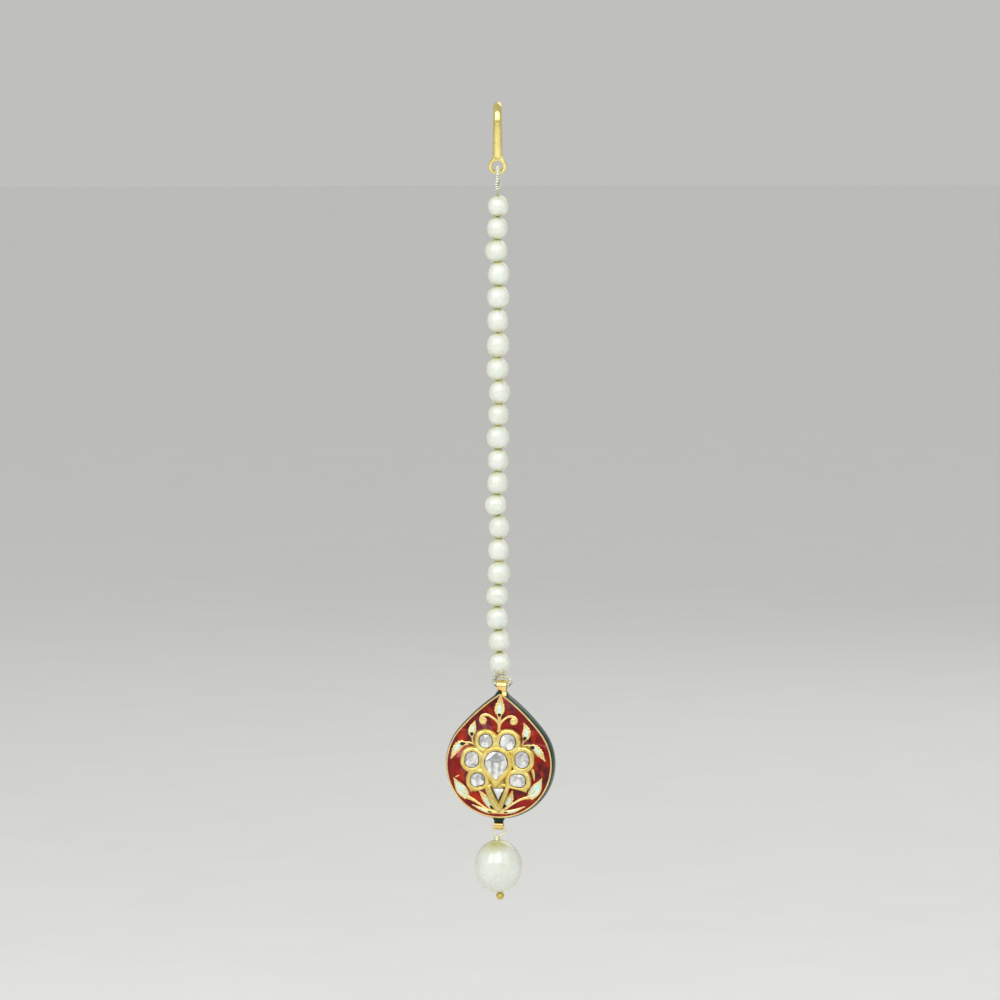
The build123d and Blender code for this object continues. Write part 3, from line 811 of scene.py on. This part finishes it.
class TIKKA_OT_gimp(bpy.types.Operator):
    """Winds the two loops of gimp from fine wire"""
    bl_idname = "tikka.gimp"
    bl_label = "Gimp Loops"

    def execute(self, context):
        self.wind("top_gimp_loop", self.top_loop(), ())
        # Squeezed flat along its top, which the foot of the bail passes when the pendant swings.
        self.wind("lower_gimp_loop", self.lower_loop(), (0, 1, 2, 10, 11))
        return {"FINISHED"}

    def wind(self, node, points, squeezed):
        """One closed loop of coiled wire through these points, narrower at the squeezed ones."""
        wire = millimetres(bpy.context.scene.tikka_sizes.gimp_wire)
        # The turns of the wire all but touch.
        pitch = 1.14 * wire
        widths = [0.83 if number in squeezed else 1.0 for number in range(len(points))]
        line = smooth_line(points, widths, closed=True)
        loop = coil_along(line, GIMP_RADIUS, wire / 2, pitch)
        bpy.data.objects.remove(line)
        smooth(loop, 60)
        settle(loop, node + "_coil", "root", "drawn_gimp_wire", (node,))

    def top_loop(self):
        """A hairpin over the lowest wire of the hook's ring, its legs crossing as they run down."""
        reach, shoulder, foot = 0.86, RING_FOOT - 1.5, -13.8
        return (
            (0, 0, RING_FOOT + reach), (0, reach, RING_FOOT), (0.10, 0.52, shoulder), (0.12, 0.46, foot),
            (0, 0, foot - 0.2), (-0.12, -0.46, foot), (-0.10, -0.52, shoulder), (0, -reach, RING_FOOT),
        )

    def lower_loop(self):
        """A flat oval below the last pearl, round the pendant's pivot."""
        high, half = 0.80, 0.675
        drawn = []
        for side in (-1, 1):
            drawn.append((0, -side * high))
            for angle in (-90, -45, 0, 45, 90):
                lean = math.radians(angle)
                drawn.append((side * (half + high * math.cos(lean)), side * high * math.sin(lean)))
        across = turned(FACE_TURN, "Z")
        centre = PENDANT_PIVOT + Vector((0, 0, high))
        return [centre + across @ Vector((x, 0, z)) for x, z in drawn]


class TIKKA_OT_thread(bpy.types.Operator):
    """Twists the silk thread of the string"""
    bl_idname = "tikka.thread"
    bl_label = "Silk Thread"

    def execute(self, context):
        ply = millimetres(context.scene.tikka_sizes.silk_ply) / 2
        low, high = cad_corners("silk_thread")
        # Above the first pearl the thread is doubled, so it is thicker there.
        neck, doubled = 0.78, 1.7 * ply
        thread = join([self.twist(ply, low.z, high.z), self.twist(doubled, high.z - neck, high.z)])
        smooth(thread, 60)
        settle(thread, "silk_thread_twist", "root", "twisted_silk", ("silk_thread",))
        return {"FINISHED"}

    def twist(self, ply, foot, top):
        """Three plies of a given radius twisted together from foot to top."""
        plies = []
        for number in range(3):
            angle = math.tau * number / 3
            centre = (ply * math.cos(angle), ply * math.sin(angle), foot)
            plies.append(solid(
                bpy.ops.mesh.primitive_circle_add, vertices=6, radius=ply, location=centre, fill_type="NGON",
            ))
        strand = join(plies)
        run, pitch = top - foot, 1.1
        turns = max(1, round(run / pitch))
        shape(strand, "SCREW", axis="Z", angle=math.tau, screw_offset=run / turns, iterations=turns,
              steps=10, render_steps=10)
        seal(strand)
        return strand


def drilled_sphere(segments, rings, flat, hole, tinted, tint, ends):
    """A ball of radius 1 with drilled poles.

    The poles are ground flat at height flat and drilled to a hole of this radius. Towards these ends the skin
    is yellowed, from height tinted on and by tint at the hole.
    """
    ball = begin(bpy.ops.mesh.primitive_uv_sphere_add, segments=segments, ring_count=rings, radius=1)
    for side in (1, -1):
        everything()
        pole = side * flat
        bpy.ops.mesh.bisect(plane_co=(0, 0, pole), plane_no=(0, 0, side), use_fill=True, clear_outer=True)
        pick("FACE", lambda face: all(abs(vertex.co.z - pole) < 1e-4 for vertex in face.verts))
        bpy.ops.mesh.inset(thickness=math.sqrt(1 - flat ** 2) - hole, depth=-0.03)
        extrude((0, 0, -side * 0.35))
    tidy()
    done()
    marks = ball.data.attributes.new("drill_end", "FLOAT", "POINT")
    for vertex in ball.data.vertices:
        height = max(end * vertex.co.z for end in ends) / flat
        share = clamped((height - tinted) / (1 - tinted))
        marks.data[vertex.index].value = tint * share * share * (3 - 2 * share)
    return ball


def uneven(piece, strength, size):
    """Lets the skin wander in and out a little, as a pearl grows."""
    growth = bpy.data.textures.get("pearl_growth") or bpy.data.textures.new("pearl_growth", "CLOUDS")
    growth.noise_scale = size
    shape(piece, "DISPLACE", texture=growth, texture_coords="LOCAL", strength=strength, mid_level=0.5)


class TIKKA_OT_pearls(bpy.types.Operator):
    """Shapes one drilled pearl and strings twenty-one uneven copies of it"""
    bl_idname = "tikka.pearls"
    bl_label = "Pearls of the String"

    def execute(self, context):
        swell = millimetres(context.scene.tikka_sizes.pearl_swell)
        flat = 0.96
        model = drilled_sphere(56, 36, flat, hole=0.2, tinted=0.60, tint=0.75, ends=(1, -1))
        names = sorted(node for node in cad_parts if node.startswith("pearl_"))
        for number, node in enumerate(names):
            low, high = cad_corners(node)
            half = (high - low) / 2
            # Each pearl leans its own way on the thread, the ninth the most.
            lean = turned(6 * math.sin(2.4 * number) + (7 if node == "pearl_09" else 0), "Y")
            grown = Matrix.Diagonal((half.x, half.y, half.z / flat, 1))
            pearl = copy_of(model)
            move(pearl, Matrix.Translation((low + high) / 2) @ lean @ grown)
            uneven(pearl, swell, 2.6)
            smooth(pearl)
            settle(pearl, node + "_nacre", "root", "drilled_pearl", (node,))
        bpy.data.objects.remove(model)
        return {"FINISHED"}


class TIKKA_OT_case(bpy.types.Operator):
    """Finishes the gold case and lays the enamels on it"""
    bl_idname = "tikka.case"
    bl_label = "Case and Enamel"

    def execute(self, context):
        dress("pendant_case", "polished_case_gold")
        dress("back_enamel", "fired_green_enamel")
        self.side_glass()
        self.front_glass()
        self.bail_foot()
        return {"FINISHED"}

    def laid_flat(self, node):
        """A copy of a CAD node of the pendant, face up in millimetres as the other pieces are modelled."""
        twin = copy_of(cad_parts[node])
        move(twin, PENDANT.inverted() @ Matrix.Scale(1 / MM, 4))
        seal(twin)
        return twin

    def side_glass(self):
        """The enamel flows before it sets, so the band runs into its two collars with no edge."""
        glass = self.laid_flat("side_enamel")
        edit(glass)
        # The band narrows where it meets the bail.
        pick("VERT", lambda vertex: vertex.co.y > 12.4 and abs(abs(vertex.co.x) - 0.95) < 0.01)
        resize((0.70, 1, 1), (0, 0, 0))
        done()
        band = join([glass, *(self.collar(*collar) for collar in COLLARS)])
        melt(band)
        settle(band, "side_glass", "pendant", "fired_green_enamel", ("side_enamel",))

    def collar(self, middle, size, narrowing, outwards):
        collar = begin(bpy.ops.mesh.primitive_cube_add, size=1, location=middle)
        resize(size, middle)
        pick("VERT", lambda vertex: (vertex.co.y - middle[1]) * outwards > 0)
        resize((narrowing, 1, narrowing), middle)
        done()
        return collar

    def front_glass(self):
        """The enamel is scraped level with the case and laps a little over its rim, to a thin gold line."""
        glass = self.laid_flat("front_enamel")
        lap = Matrix.Diagonal((1.012, 1.010, 1, 1))
        move(glass, Matrix.Translation((0, 0, ENAMEL_FACE - CAD_ENAMEL_FACE)) @ lap)
        smooth(glass)
        settle(glass, "front_glass", "pendant", "fired_red_enamel", ("front_enamel",))

    def bail_foot(self):
        back, thickness = 0.90, 1.10
        foot = outline_face(BAIL_FOOT, back)
        extrude((0, 0, thickness))
        # Its upper end leans back into the strap.
        pick("VERT", lambda vertex: vertex.co.y > 13.2 and vertex.co.z > back + thickness / 2)
        bpy.ops.transform.translate(value=(0, 0, -thickness / 2))
        tidy()
        done()
        shape(foot, "BEVEL", width=0.16, segments=4)
        smooth(foot, 50)
        settle(foot, "bail_foot", "pendant", "polished_case_gold")


class TIKKA_OT_setting(bpy.types.Operator):
    """Raises the soft gold bands round the stones and melts them into one setting"""
    bl_idname = "tikka.setting"
    bl_label = "Kundan Setting"

    def execute(self, context):
        band = millimetres(context.scene.tikka_sizes.band_width)
        bands = [self.lobe(stone, band) for stone in STONES]
        for strokes, height, thickness in SETTING_STROKES:
            bands += [stroke_piece(*stroke, height, thickness) for stroke in strokes]
        bands.append(self.fork())
        # The foil is pressed over the seams. The bezel is laid last, so the line round it stays.
        pressed = [join(bands), self.bezel(band)]
        for gold in pressed:
            melt(gold)
        setting = join(pressed)
        # Paints shade into the creases of the setting and onto the low petals.
        self.paint_crease_shade(setting.data)
        settle(setting, "kundan_bands", "pendant", "burnished_kundan_gold", ("kundan_setting",))
        return {"FINISHED"}

    def paint_crease_shade(self, mesh):
        """Marks where painted shade darkens the gold.

        That is painted shade at the foot of the bands, wherever the gold lies below the gold around it, and a
        little on the low petals, where the gold catches less light.
        """
        painted_crease_shade = mesh.attributes.new("painted_crease_shade", "FLOAT", "POINT")
        for vertex, level in zip(mesh.vertices, self.levels(mesh)):
            _, along, height = vertex.co
            foot = (2.90 - height) / 0.55
            dip = (level - height) / 0.045
            low_petal = 0.3 * (1 - clamped((along + 5.2) / 1.4))
            painted_crease_shade.data[vertex.index].value = clamped(max(foot, dip, low_petal))

    def levels(self, mesh):
        """The mean height of the gold around each vertex, averaged outwards from neighbour to neighbour."""
        around = [vertex.co.z for vertex in mesh.vertices]
        ties = [tuple(edge.vertices) for edge in mesh.edges]
        for _ in range(20):
            sums, counts = list(around), [1] * len(around)
            for first, second in ties:
                sums[first] += around[second]
                sums[second] += around[first]
                counts[first] += 1
                counts[second] += 1
            around = [total / count for total, count in zip(sums, counts)]
        return around

    def lobe(self, stone, band):
        lobe = cushion(stone, 2 * band, BAND_FOOT, stone.corner + band, 12)
        self.raise_band(0.70, BAND_STEPS)
        if stone.cut:
            edit(lobe)
            trim(stone.cut, 0)
            done()
        return lobe

    def bezel(self, band):
        bezel = drop_face(CENTRE_RADIUS + band, CENTRE_TIP - 1.25 * band, BAND_FOOT)
        self.raise_band(0.90, BAND_STEPS)
        return bezel

    def fork(self):
        fork = outline_face(FORK, BAND_FOOT)
        self.raise_band(0.65, FORK_STEPS)
        return fork

    def raise_band(self, wall, steps):
        """Raises the selected face into a wall with a rounded top and a seat for the stone."""
        extrude((0, 0, wall))
        for inward, upward in steps:
            bpy.ops.mesh.inset(thickness=inward, depth=upward)
        bpy.ops.mesh.inset(thickness=0.03, depth=-0.22)
        tidy()
        done()


def cushion(stone, wider, height, corner, segments):
    """A face in a stone's outline, made wider and higher by so much, its corners rounded."""
    centre = (stone.x, stone.y, height)
    face = begin(bpy.ops.mesh.primitive_plane_add, size=1, location=centre)
    resize((stone.width + wider, stone.height + wider, 1), centre)
    bpy.ops.mesh.bevel(affect="VERTICES", offset=corner, segments=segments)
    turn(stone.turn, "Z", centre)
    return face


def trim(cut, rise):
    """Cuts the mesh off below a sloping line, so many millimetres above the lobe's own edge."""
    normal = turned(cut.slope, "Z") @ Vector((0, 1, 0))
    point = Vector((cut.x, cut.y, 0)) + normal * rise
    everything()
    bpy.ops.mesh.bisect(plane_co=point, plane_no=normal, clear_inner=True, use_fill=True)
    everything()


def drop_face(radius, tip, height):
    """A flat drop with its point down: a circle whose low arc is drawn together and pulled to the tip."""
    face = begin(
        bpy.ops.mesh.primitive_circle_add, vertices=72, radius=radius, fill_type="NGON",
        location=(CENTRE.x, CENTRE.y, height),
    )
    # The sides run straight from the tip to where they touch the circle.
    touch = CENTRE.y - radius * radius / (CENTRE.y - tip)
    pick("VERT", lambda vertex: vertex.co.y < touch)
    bpy.ops.mesh.merge(type="CENTER")
    mesh = bmesh.from_edit_mesh(face.data)
    point = min(mesh.verts, key=lambda vertex: vertex.co.y)
    bpy.ops.transform.translate(value=Vector((CENTRE.x, tip, height)) - point.co)
    bpy.ops.mesh.select_mode(type="FACE")
    everything()
    return face


def outline_face(points, height):
    """A flat face drawn corner by corner: one vertex extruded round the outline and filled."""
    face = begin(bpy.ops.mesh.primitive_plane_add, size=1)
    bpy.ops.mesh.select_mode(type="VERT")
    bpy.ops.mesh.merge(type="CENTER")
    corners = [Vector((x, y, height)) for x, y in points]
    everything()
    bpy.ops.transform.translate(value=corners[0])
    for here, there in zip(corners, corners[1:]):
        extrude(there - here)
    everything()
    bpy.ops.mesh.edge_face_add()
    bpy.ops.mesh.select_mode(type="FACE")
    everything()
    mesh = bmesh.from_edit_mesh(face.data)
    mesh.faces.ensure_lookup_table()
    if mesh.faces[0].normal.z < 0:
        bpy.ops.mesh.flip_normals()
    return face


def heading(direction):
    """The way a facet faces, seen from above."""
    return turned(direction, "Z") @ Vector((1, 0, 0))


def facet_normal(direction, tilt):
    tilt = math.radians(tilt)
    return heading(direction) * math.sin(tilt) + Vector((0, 0, math.cos(tilt)))


class TIKKA_OT_stones(bpy.types.Operator):
    """Cuts the flat stones, each with its own few facets"""
    bl_idname = "tikka.stones"
    bl_label = "Stones"

    def execute(self, context):
        # A stone sits this deep in its band, and its edge reaches a little under the gold.
        seat, girdle, top, lap = 2.60, 3.02, 3.34, 0.04
        for number, stone in enumerate(STONES):
            piece = cushion(stone, 2 * lap, seat, stone.corner, 3)
            if stone.cut:
                trim(stone.cut, stone.cut.rise)
            facets = [(direction + 47 * number, *rest) for direction, *rest in FACETS]
            self.cut(piece, stone.node, (seat, girdle, top), (stone.x, stone.y), stone.width / 2, facets)
        centre = drop_face(CENTRE_RADIUS + lap, CENTRE_TIP - 0.06, seat)
        self.cut(centre, "stone_centre", (seat, girdle + 0.08, top + 0.12), CENTRE, 1.0, CENTRE_FACETS)
        point = outline_face(POINT_STONE, seat)
        bpy.ops.mesh.bevel(affect="VERTICES", offset=0.12, segments=2)
        self.cut(point, "stone_point", (seat, girdle - 0.12, top - 0.14), (0.15, -5.0), 0.7, FACETS[1::2])
        return {"FINISHED"}

    def cut(self, piece, node, heights, centre, size, facets):
        """Raises the selected face from the seat to a stone, and polishes its facets."""
        seat, girdle, top = heights
        extrude((0, 0, girdle - seat))
        bpy.ops.mesh.inset(thickness=0.16, depth=top - girdle)
        tidy()
        for direction, tilt, start, _ in facets:
            everything()
            point = Vector((*centre, top)) + heading(direction) * (start * size)
            normal = facet_normal(direction, tilt)
            bpy.ops.mesh.bisect(plane_co=point, plane_no=normal, use_fill=True, clear_outer=True)
        tidy()
        done()
        self.tone(piece.data, facets)
        smooth(piece, 3)
        settle(piece, node + "_cut", "pendant", "foil_backed_diamond", (node,))

    def tone(self, mesh, facets):
        """Marks each face with its painted tone: painted highlight or shade on the facets, a painted tone on
        the rest of the top, a painted shadow on the slanting edge.
        """
        painted_tones = mesh.attributes.new("facet", "FLOAT", "FACE")
        polished = [(facet_normal(direction, tilt), tone) for direction, tilt, _, tone in facets]
        for face in mesh.polygons:
            rest = TABLE_PAINTED_TONE if face.normal.z > 0.9 else EDGE_PAINTED_SHADOW
            near = [tone for normal, tone in polished if face.normal.dot(normal) > 0.99995]
            painted_tones.data[face.index].value = near[0] if near else rest


def stroke_piece(points, widths, height, thickness):
    """A tapered stroke lying on the enamel: a tube along its middle line, pressed flat."""
    stroke = tube_along(smooth_line([(x, y, height) for x, y in points], [width / 2 for width in widths]), 2)
    edit(stroke)
    resize((1, 1, thickness / max(widths)), (0, 0, height))
    done()
    return stroke


def stations(leaf, start, end, count, tooth=0.0):
    """Places and widths along the smooth middle of a leaf, from one share of its length to another."""
    points = [Vector(point) for point in leaf.points]
    knots = [2 * points[0] - points[1], *points, 2 * points[-1] - points[-2]]
    sizes = [leaf.widths[0], *leaf.widths, leaf.widths[-1]]
    places, widths = [], []
    for step in range(count):
        at = (start + (end - start) * step / (count - 1)) * (len(points) - 1)
        span = min(int(at), len(points) - 2)
        serrated = 1 + tooth * (step % 2) if 0.2 < step / count < 0.9 else 1
        places.append(eased(knots[span:span + 4], at - span))
        widths.append(max(0.05, eased(sizes[span:span + 4], at - span) * serrated))
    return places, widths


def eased(values, share):
    """Smooth passage from the second to the third of four values."""
    before, first, second, after = values
    slope_in, slope_out = (second - before) / 2, (after - first) / 2
    rise = second - first
    square = 3 * rise - 2 * slope_in - slope_out
    cube = slope_in + slope_out - 2 * rise
    return first + slope_in * share + square * share ** 2 + cube * share ** 3


class TIKKA_OT_foliage(bpy.types.Operator):
    """Lays the gold scrolls and leaves on the red, and fills the leaves with mint and black enamel"""
    bl_idname = "tikka.foliage"
    bl_label = "Foliage"

    def execute(self, context):
        gold = [self.laid(stroke) for stroke in GOLD_STROKES]
        gold += [self.curl(x, y) for x, y in CURLS]
        mint, black = [], []
        for leaf in LEAVES:
            gold.append(self.laid(stations(leaf, 0, 1, 19, tooth=0.26)))
            mint.append(self.inlay(leaf, leaf.filled, share=0.64, above=0.05))
            black.append(self.inlay(leaf, leaf.dark, share=0.64, above=0.08))
        for leaf in BROAD_LEAVES:
            gold.append(self.laid(stations(leaf, 0, 1, 23, tooth=0.06)))
            mint.append(self.inlay(leaf, leaf.filled, share=0.80, above=0.05))
            gold.append(self.inlay(leaf, leaf.dark, share=0.26, above=0.08))
        self.put(gold, "foliage_gold", "kundan_gold", "engraved_gold")
        self.put(mint, "foliage_mint", "mint_enamel", "fired_mint_enamel")
        self.put(black, "foliage_black", "black_enamel", "fired_black_enamel")
        return {"FINISHED"}

    def relief(self):
        return millimetres(bpy.context.scene.tikka_sizes.leaf_relief)

    def laid(self, stroke, above=0.0):
        """A stroke with its middle line on the enamel, or so much above it."""
        return stroke_piece(*stroke, ENAMEL_FACE + above, 2 * self.relief())

    def curl(self, x, y):
        curl = begin(bpy.ops.mesh.primitive_uv_sphere_add, segments=24, ring_count=12, radius=1)
        resize((CURL_RADIUS, CURL_RADIUS, self.relief()), (0, 0, 0))
        bpy.ops.transform.translate(value=(x, y, ENAMEL_FACE))
        done()
        return curl

    def inlay(self, leaf, stretch, share, above):
        """Enamel over a stretch of a leaf, filling a share of its width and tapering at both ends."""
        steps = 16
        points, widths = stations(leaf, *stretch, steps + 1)
        tapers = [max(0.05, math.sin(math.pi * step / steps)) ** 0.6 for step in range(steps + 1)]
        return self.laid((points, [share * width * taper for width, taper in zip(widths, tapers)]), above)

    def put(self, pieces, name, slot, material):
        piece = join(pieces)
        smooth(piece, 50)
        settle(piece, name, "pendant", material)


class TIKKA_OT_drop(bpy.types.Operator):
    """Shapes the large hanging pearl, its pin with the ball, and the wire loop"""
    bl_idname = "tikka.drop"
    bl_label = "Drop"

    def execute(self, context):
        wire = join([self.loop(), self.wraps(), self.pin()])
        smooth(wire, 50)
        settle(wire, "drop_loop", "drop", "drawn_gold_wire", ("drop_wire",))
        self.bead()
        self.pearl()
        return {"FINISHED"}

    def loop(self):
        """Wire bent into a flattened eye through the lower tube."""
        drawn = (
            (-0.56, -2.05), (-0.78, -1.45), (-1.15, -0.80), (-1.38, -0.28), (-1.22, 0.06), (-0.85, 0.10),
            (0, 0.02), (0.80, -0.04), (1.10, -0.28), (1.18, -0.72), (0.92, -1.18), (0.28, -1.58),
            (-0.42, -1.98),
        )
        return tube_along(smooth_line([(x, 0, z) for x, z in drawn], [0.165] * len(drawn)), 4)

    def wraps(self):
        """Three turns of the wire's end round the pin."""
        reach, start, pitch = 0.43, -2.44, 0.25
        wraps = solid(
            bpy.ops.mesh.primitive_circle_add, vertices=12, radius=0.15,
            location=(reach, 0, start), rotation=(math.pi / 2, 0, 0),
        )
        shape(wraps, "SCREW", axis="Z", angle=math.tau, screw_offset=pitch, iterations=3, steps=28,
              render_steps=28, use_merge_vertices=False)
        move(wraps, Matrix.Translation((DROP_SIDE, 0, 0)))
        seal(wraps)
        return wraps

    def pin(self):
        return solid(
            bpy.ops.mesh.primitive_cylinder_add, vertices=20, radius=0.28, depth=10.7,
            location=(DROP_SIDE, 0, -7.1),
        )

    def bead(self):
        """The ball on the pin's end, with a low collar on which the pearl rests."""
        height, radius, collar, rise = -12.53, 0.73, 0.60, 0.16
        bead = begin(
            bpy.ops.mesh.primitive_uv_sphere_add, segments=40, ring_count=28, radius=radius,
            location=(DROP_SIDE, 0, height),
        )
        pick("FACE", lambda face: all(vertex.co.z > height + collar for vertex in face.verts))
        extrude((0, 0, rise))
        tidy()
        done()
        smooth(bead)
        settle(bead, "drop_ball", "drop", "shaded_bead_gold", ("drop_wire",))

    def pearl(self):
        """The large pearl, a little longer above its widest part than below it."""
        top, widest, foot, radius, flat = -2.42, -7.36, -11.81, 4.33, 0.985
        pearl = drilled_sphere(96, 64, flat, hole=0.09, tinted=0.45, tint=1.0, ends=(1,))
        # This pearl's yellow skin is a patch in front and behind, not a ring.
        patch = 0.75
        for vertex, mark in zip(pearl.data.vertices, pearl.data.attributes["drill_end"].data):
            mark.value *= max(0.0, 1 - (vertex.co.x / patch) ** 2)
        edit(pearl)
        for side, height in ((1, top - widest), (-1, widest - foot)):
            pick("VERT", lambda vertex: side * vertex.co.z > 1e-4)
            resize((1, 1, height / radius / flat), (0, 0, 0))
        done()
        move(pearl, Matrix.Translation((DROP_SIDE, 0, widest)) @ Matrix.Scale(radius, 4))
        uneven(pearl, 0.08, 5.0)
        smooth(pearl)
        settle(pearl, "drop_pearl_nacre", "drop", "drilled_pearl", ("drop_pearl",))


class TIKKA_OT_stage(bpy.types.Operator):
    """Sets the pale floor, the soft lights and the camera"""
    bl_idname = "tikka.stage"
    bl_label = "Stage"

    def execute(self, context):
        self.floor()
        self.sky(context.scene)
        aim = Vector((0.0003, 0, -0.0697))
        panes = ("left pane", -0.40, 1.0), ("middle pane", 0.0, 1.0), ("right pane", 0.40, 0.5)
        for name, aside, watts in panes:
            self.light(name, (aside, -0.42, 0.25), aim, width=0.30, height=0.48, watts=watts)
        self.light("back", (0.25, 0.60, 0.35), aim, width=0.40, height=0.40, watts=0.5)
        self.camera(context.scene, aim)
        context.scene.view_settings.view_transform = "Standard"
        return {"FINISHED"}

    def floor(self):
        floor = solid(
            bpy.ops.mesh.primitive_circle_add, vertices=64, radius=12, fill_type="NGON",
            location=(0, 0, -0.175),
        )
        floor.name = "floor"
        floor.data.materials.append(finish("matt_paper"))

    def sky(self, scene):
        scene.world = bpy.data.worlds.new("studio")
        scene.world.use_nodes = True
        background = scene.world.node_tree.nodes["Background"].inputs
        background["Color"].default_value = linear("#E6E6E4")
        background["Strength"].default_value = 0.66

    def camera(self, scene, aim):
        """Looks at the aim from a metre away and a little above."""
        away, rise, shown, sensor = 1.0, math.radians(4.0), 0.1795, 36
        place = aim + away * Vector((0, -math.cos(rise), math.sin(rise)))
        camera_data = bpy.data.cameras.new("camera")
        camera_data.sensor_width = sensor
        camera_data.lens = sensor * away / shown
        camera_data.clip_start, camera_data.clip_end = 0.01, 50
        camera = self.placed("camera", camera_data, place)
        look = (aim - place).to_track_quat("-Z", "Y").to_matrix().to_4x4()
        camera.rotation_euler = (look @ turned(-0.13, "Z")).to_euler()
        scene.camera = camera

    def light(self, name, place, aim, width, height, watts):
        light_data = bpy.data.lights.new(name, "AREA")
        light_data.shape, light_data.size, light_data.size_y = "RECTANGLE", width, height
        light_data.energy = watts
        light = self.placed(name, light_data, place)
        light.rotation_euler = (aim - Vector(place)).to_track_quat("-Z", "Y").to_euler()

    def placed(self, name, data, place):
        item = bpy.data.objects.new(name, data)
        bpy.context.collection.objects.link(item)
        item.location = place
        return item


PIECES = (
    TIKKA_OT_hook, TIKKA_OT_gimp, TIKKA_OT_thread, TIKKA_OT_pearls, TIKKA_OT_case, TIKKA_OT_setting,
    TIKKA_OT_stones, TIKKA_OT_foliage, TIKKA_OT_drop, TIKKA_OT_stage,
)


class TIKKA_PT_panel(bpy.types.Panel):
    """Lists the pieces of the maang tikka with their sizes and colours"""
    bl_idname = "TIKKA_PT_panel"
    bl_label = "Maang Tikka"
    bl_space_type = "VIEW_3D"
    bl_region_type = "UI"
    bl_category = "Maang Tikka"

    def draw(self, context):
        for group in (context.scene.tikka_sizes, context.scene.tikka_colours):
            column = self.layout.column(align=True)
            for name in group.__annotations__:
                column.prop(group, name)
        for piece in PIECES:
            self.layout.operator(piece.bl_idname)


CLASSES = (TikkaColours, TikkaSizes, *PIECES, TIKKA_PT_panel)


def register():
    for each in CLASSES:
        bpy.utils.register_class(each)
    bpy.types.Scene.tikka_colours = bpy.props.PointerProperty(type=TikkaColours)
    bpy.types.Scene.tikka_sizes = bpy.props.PointerProperty(type=TikkaSizes)


def unregister():
    del bpy.types.Scene.tikka_sizes
    del bpy.types.Scene.tikka_colours
    for each in reversed(CLASSES):
        bpy.utils.unregister_class(each)


def main():
    register()
    for piece in PIECES:
        family, name = piece.bl_idname.split(".")
        getattr(getattr(bpy.ops, family), name)()


if __name__ == "__main__":
    main()
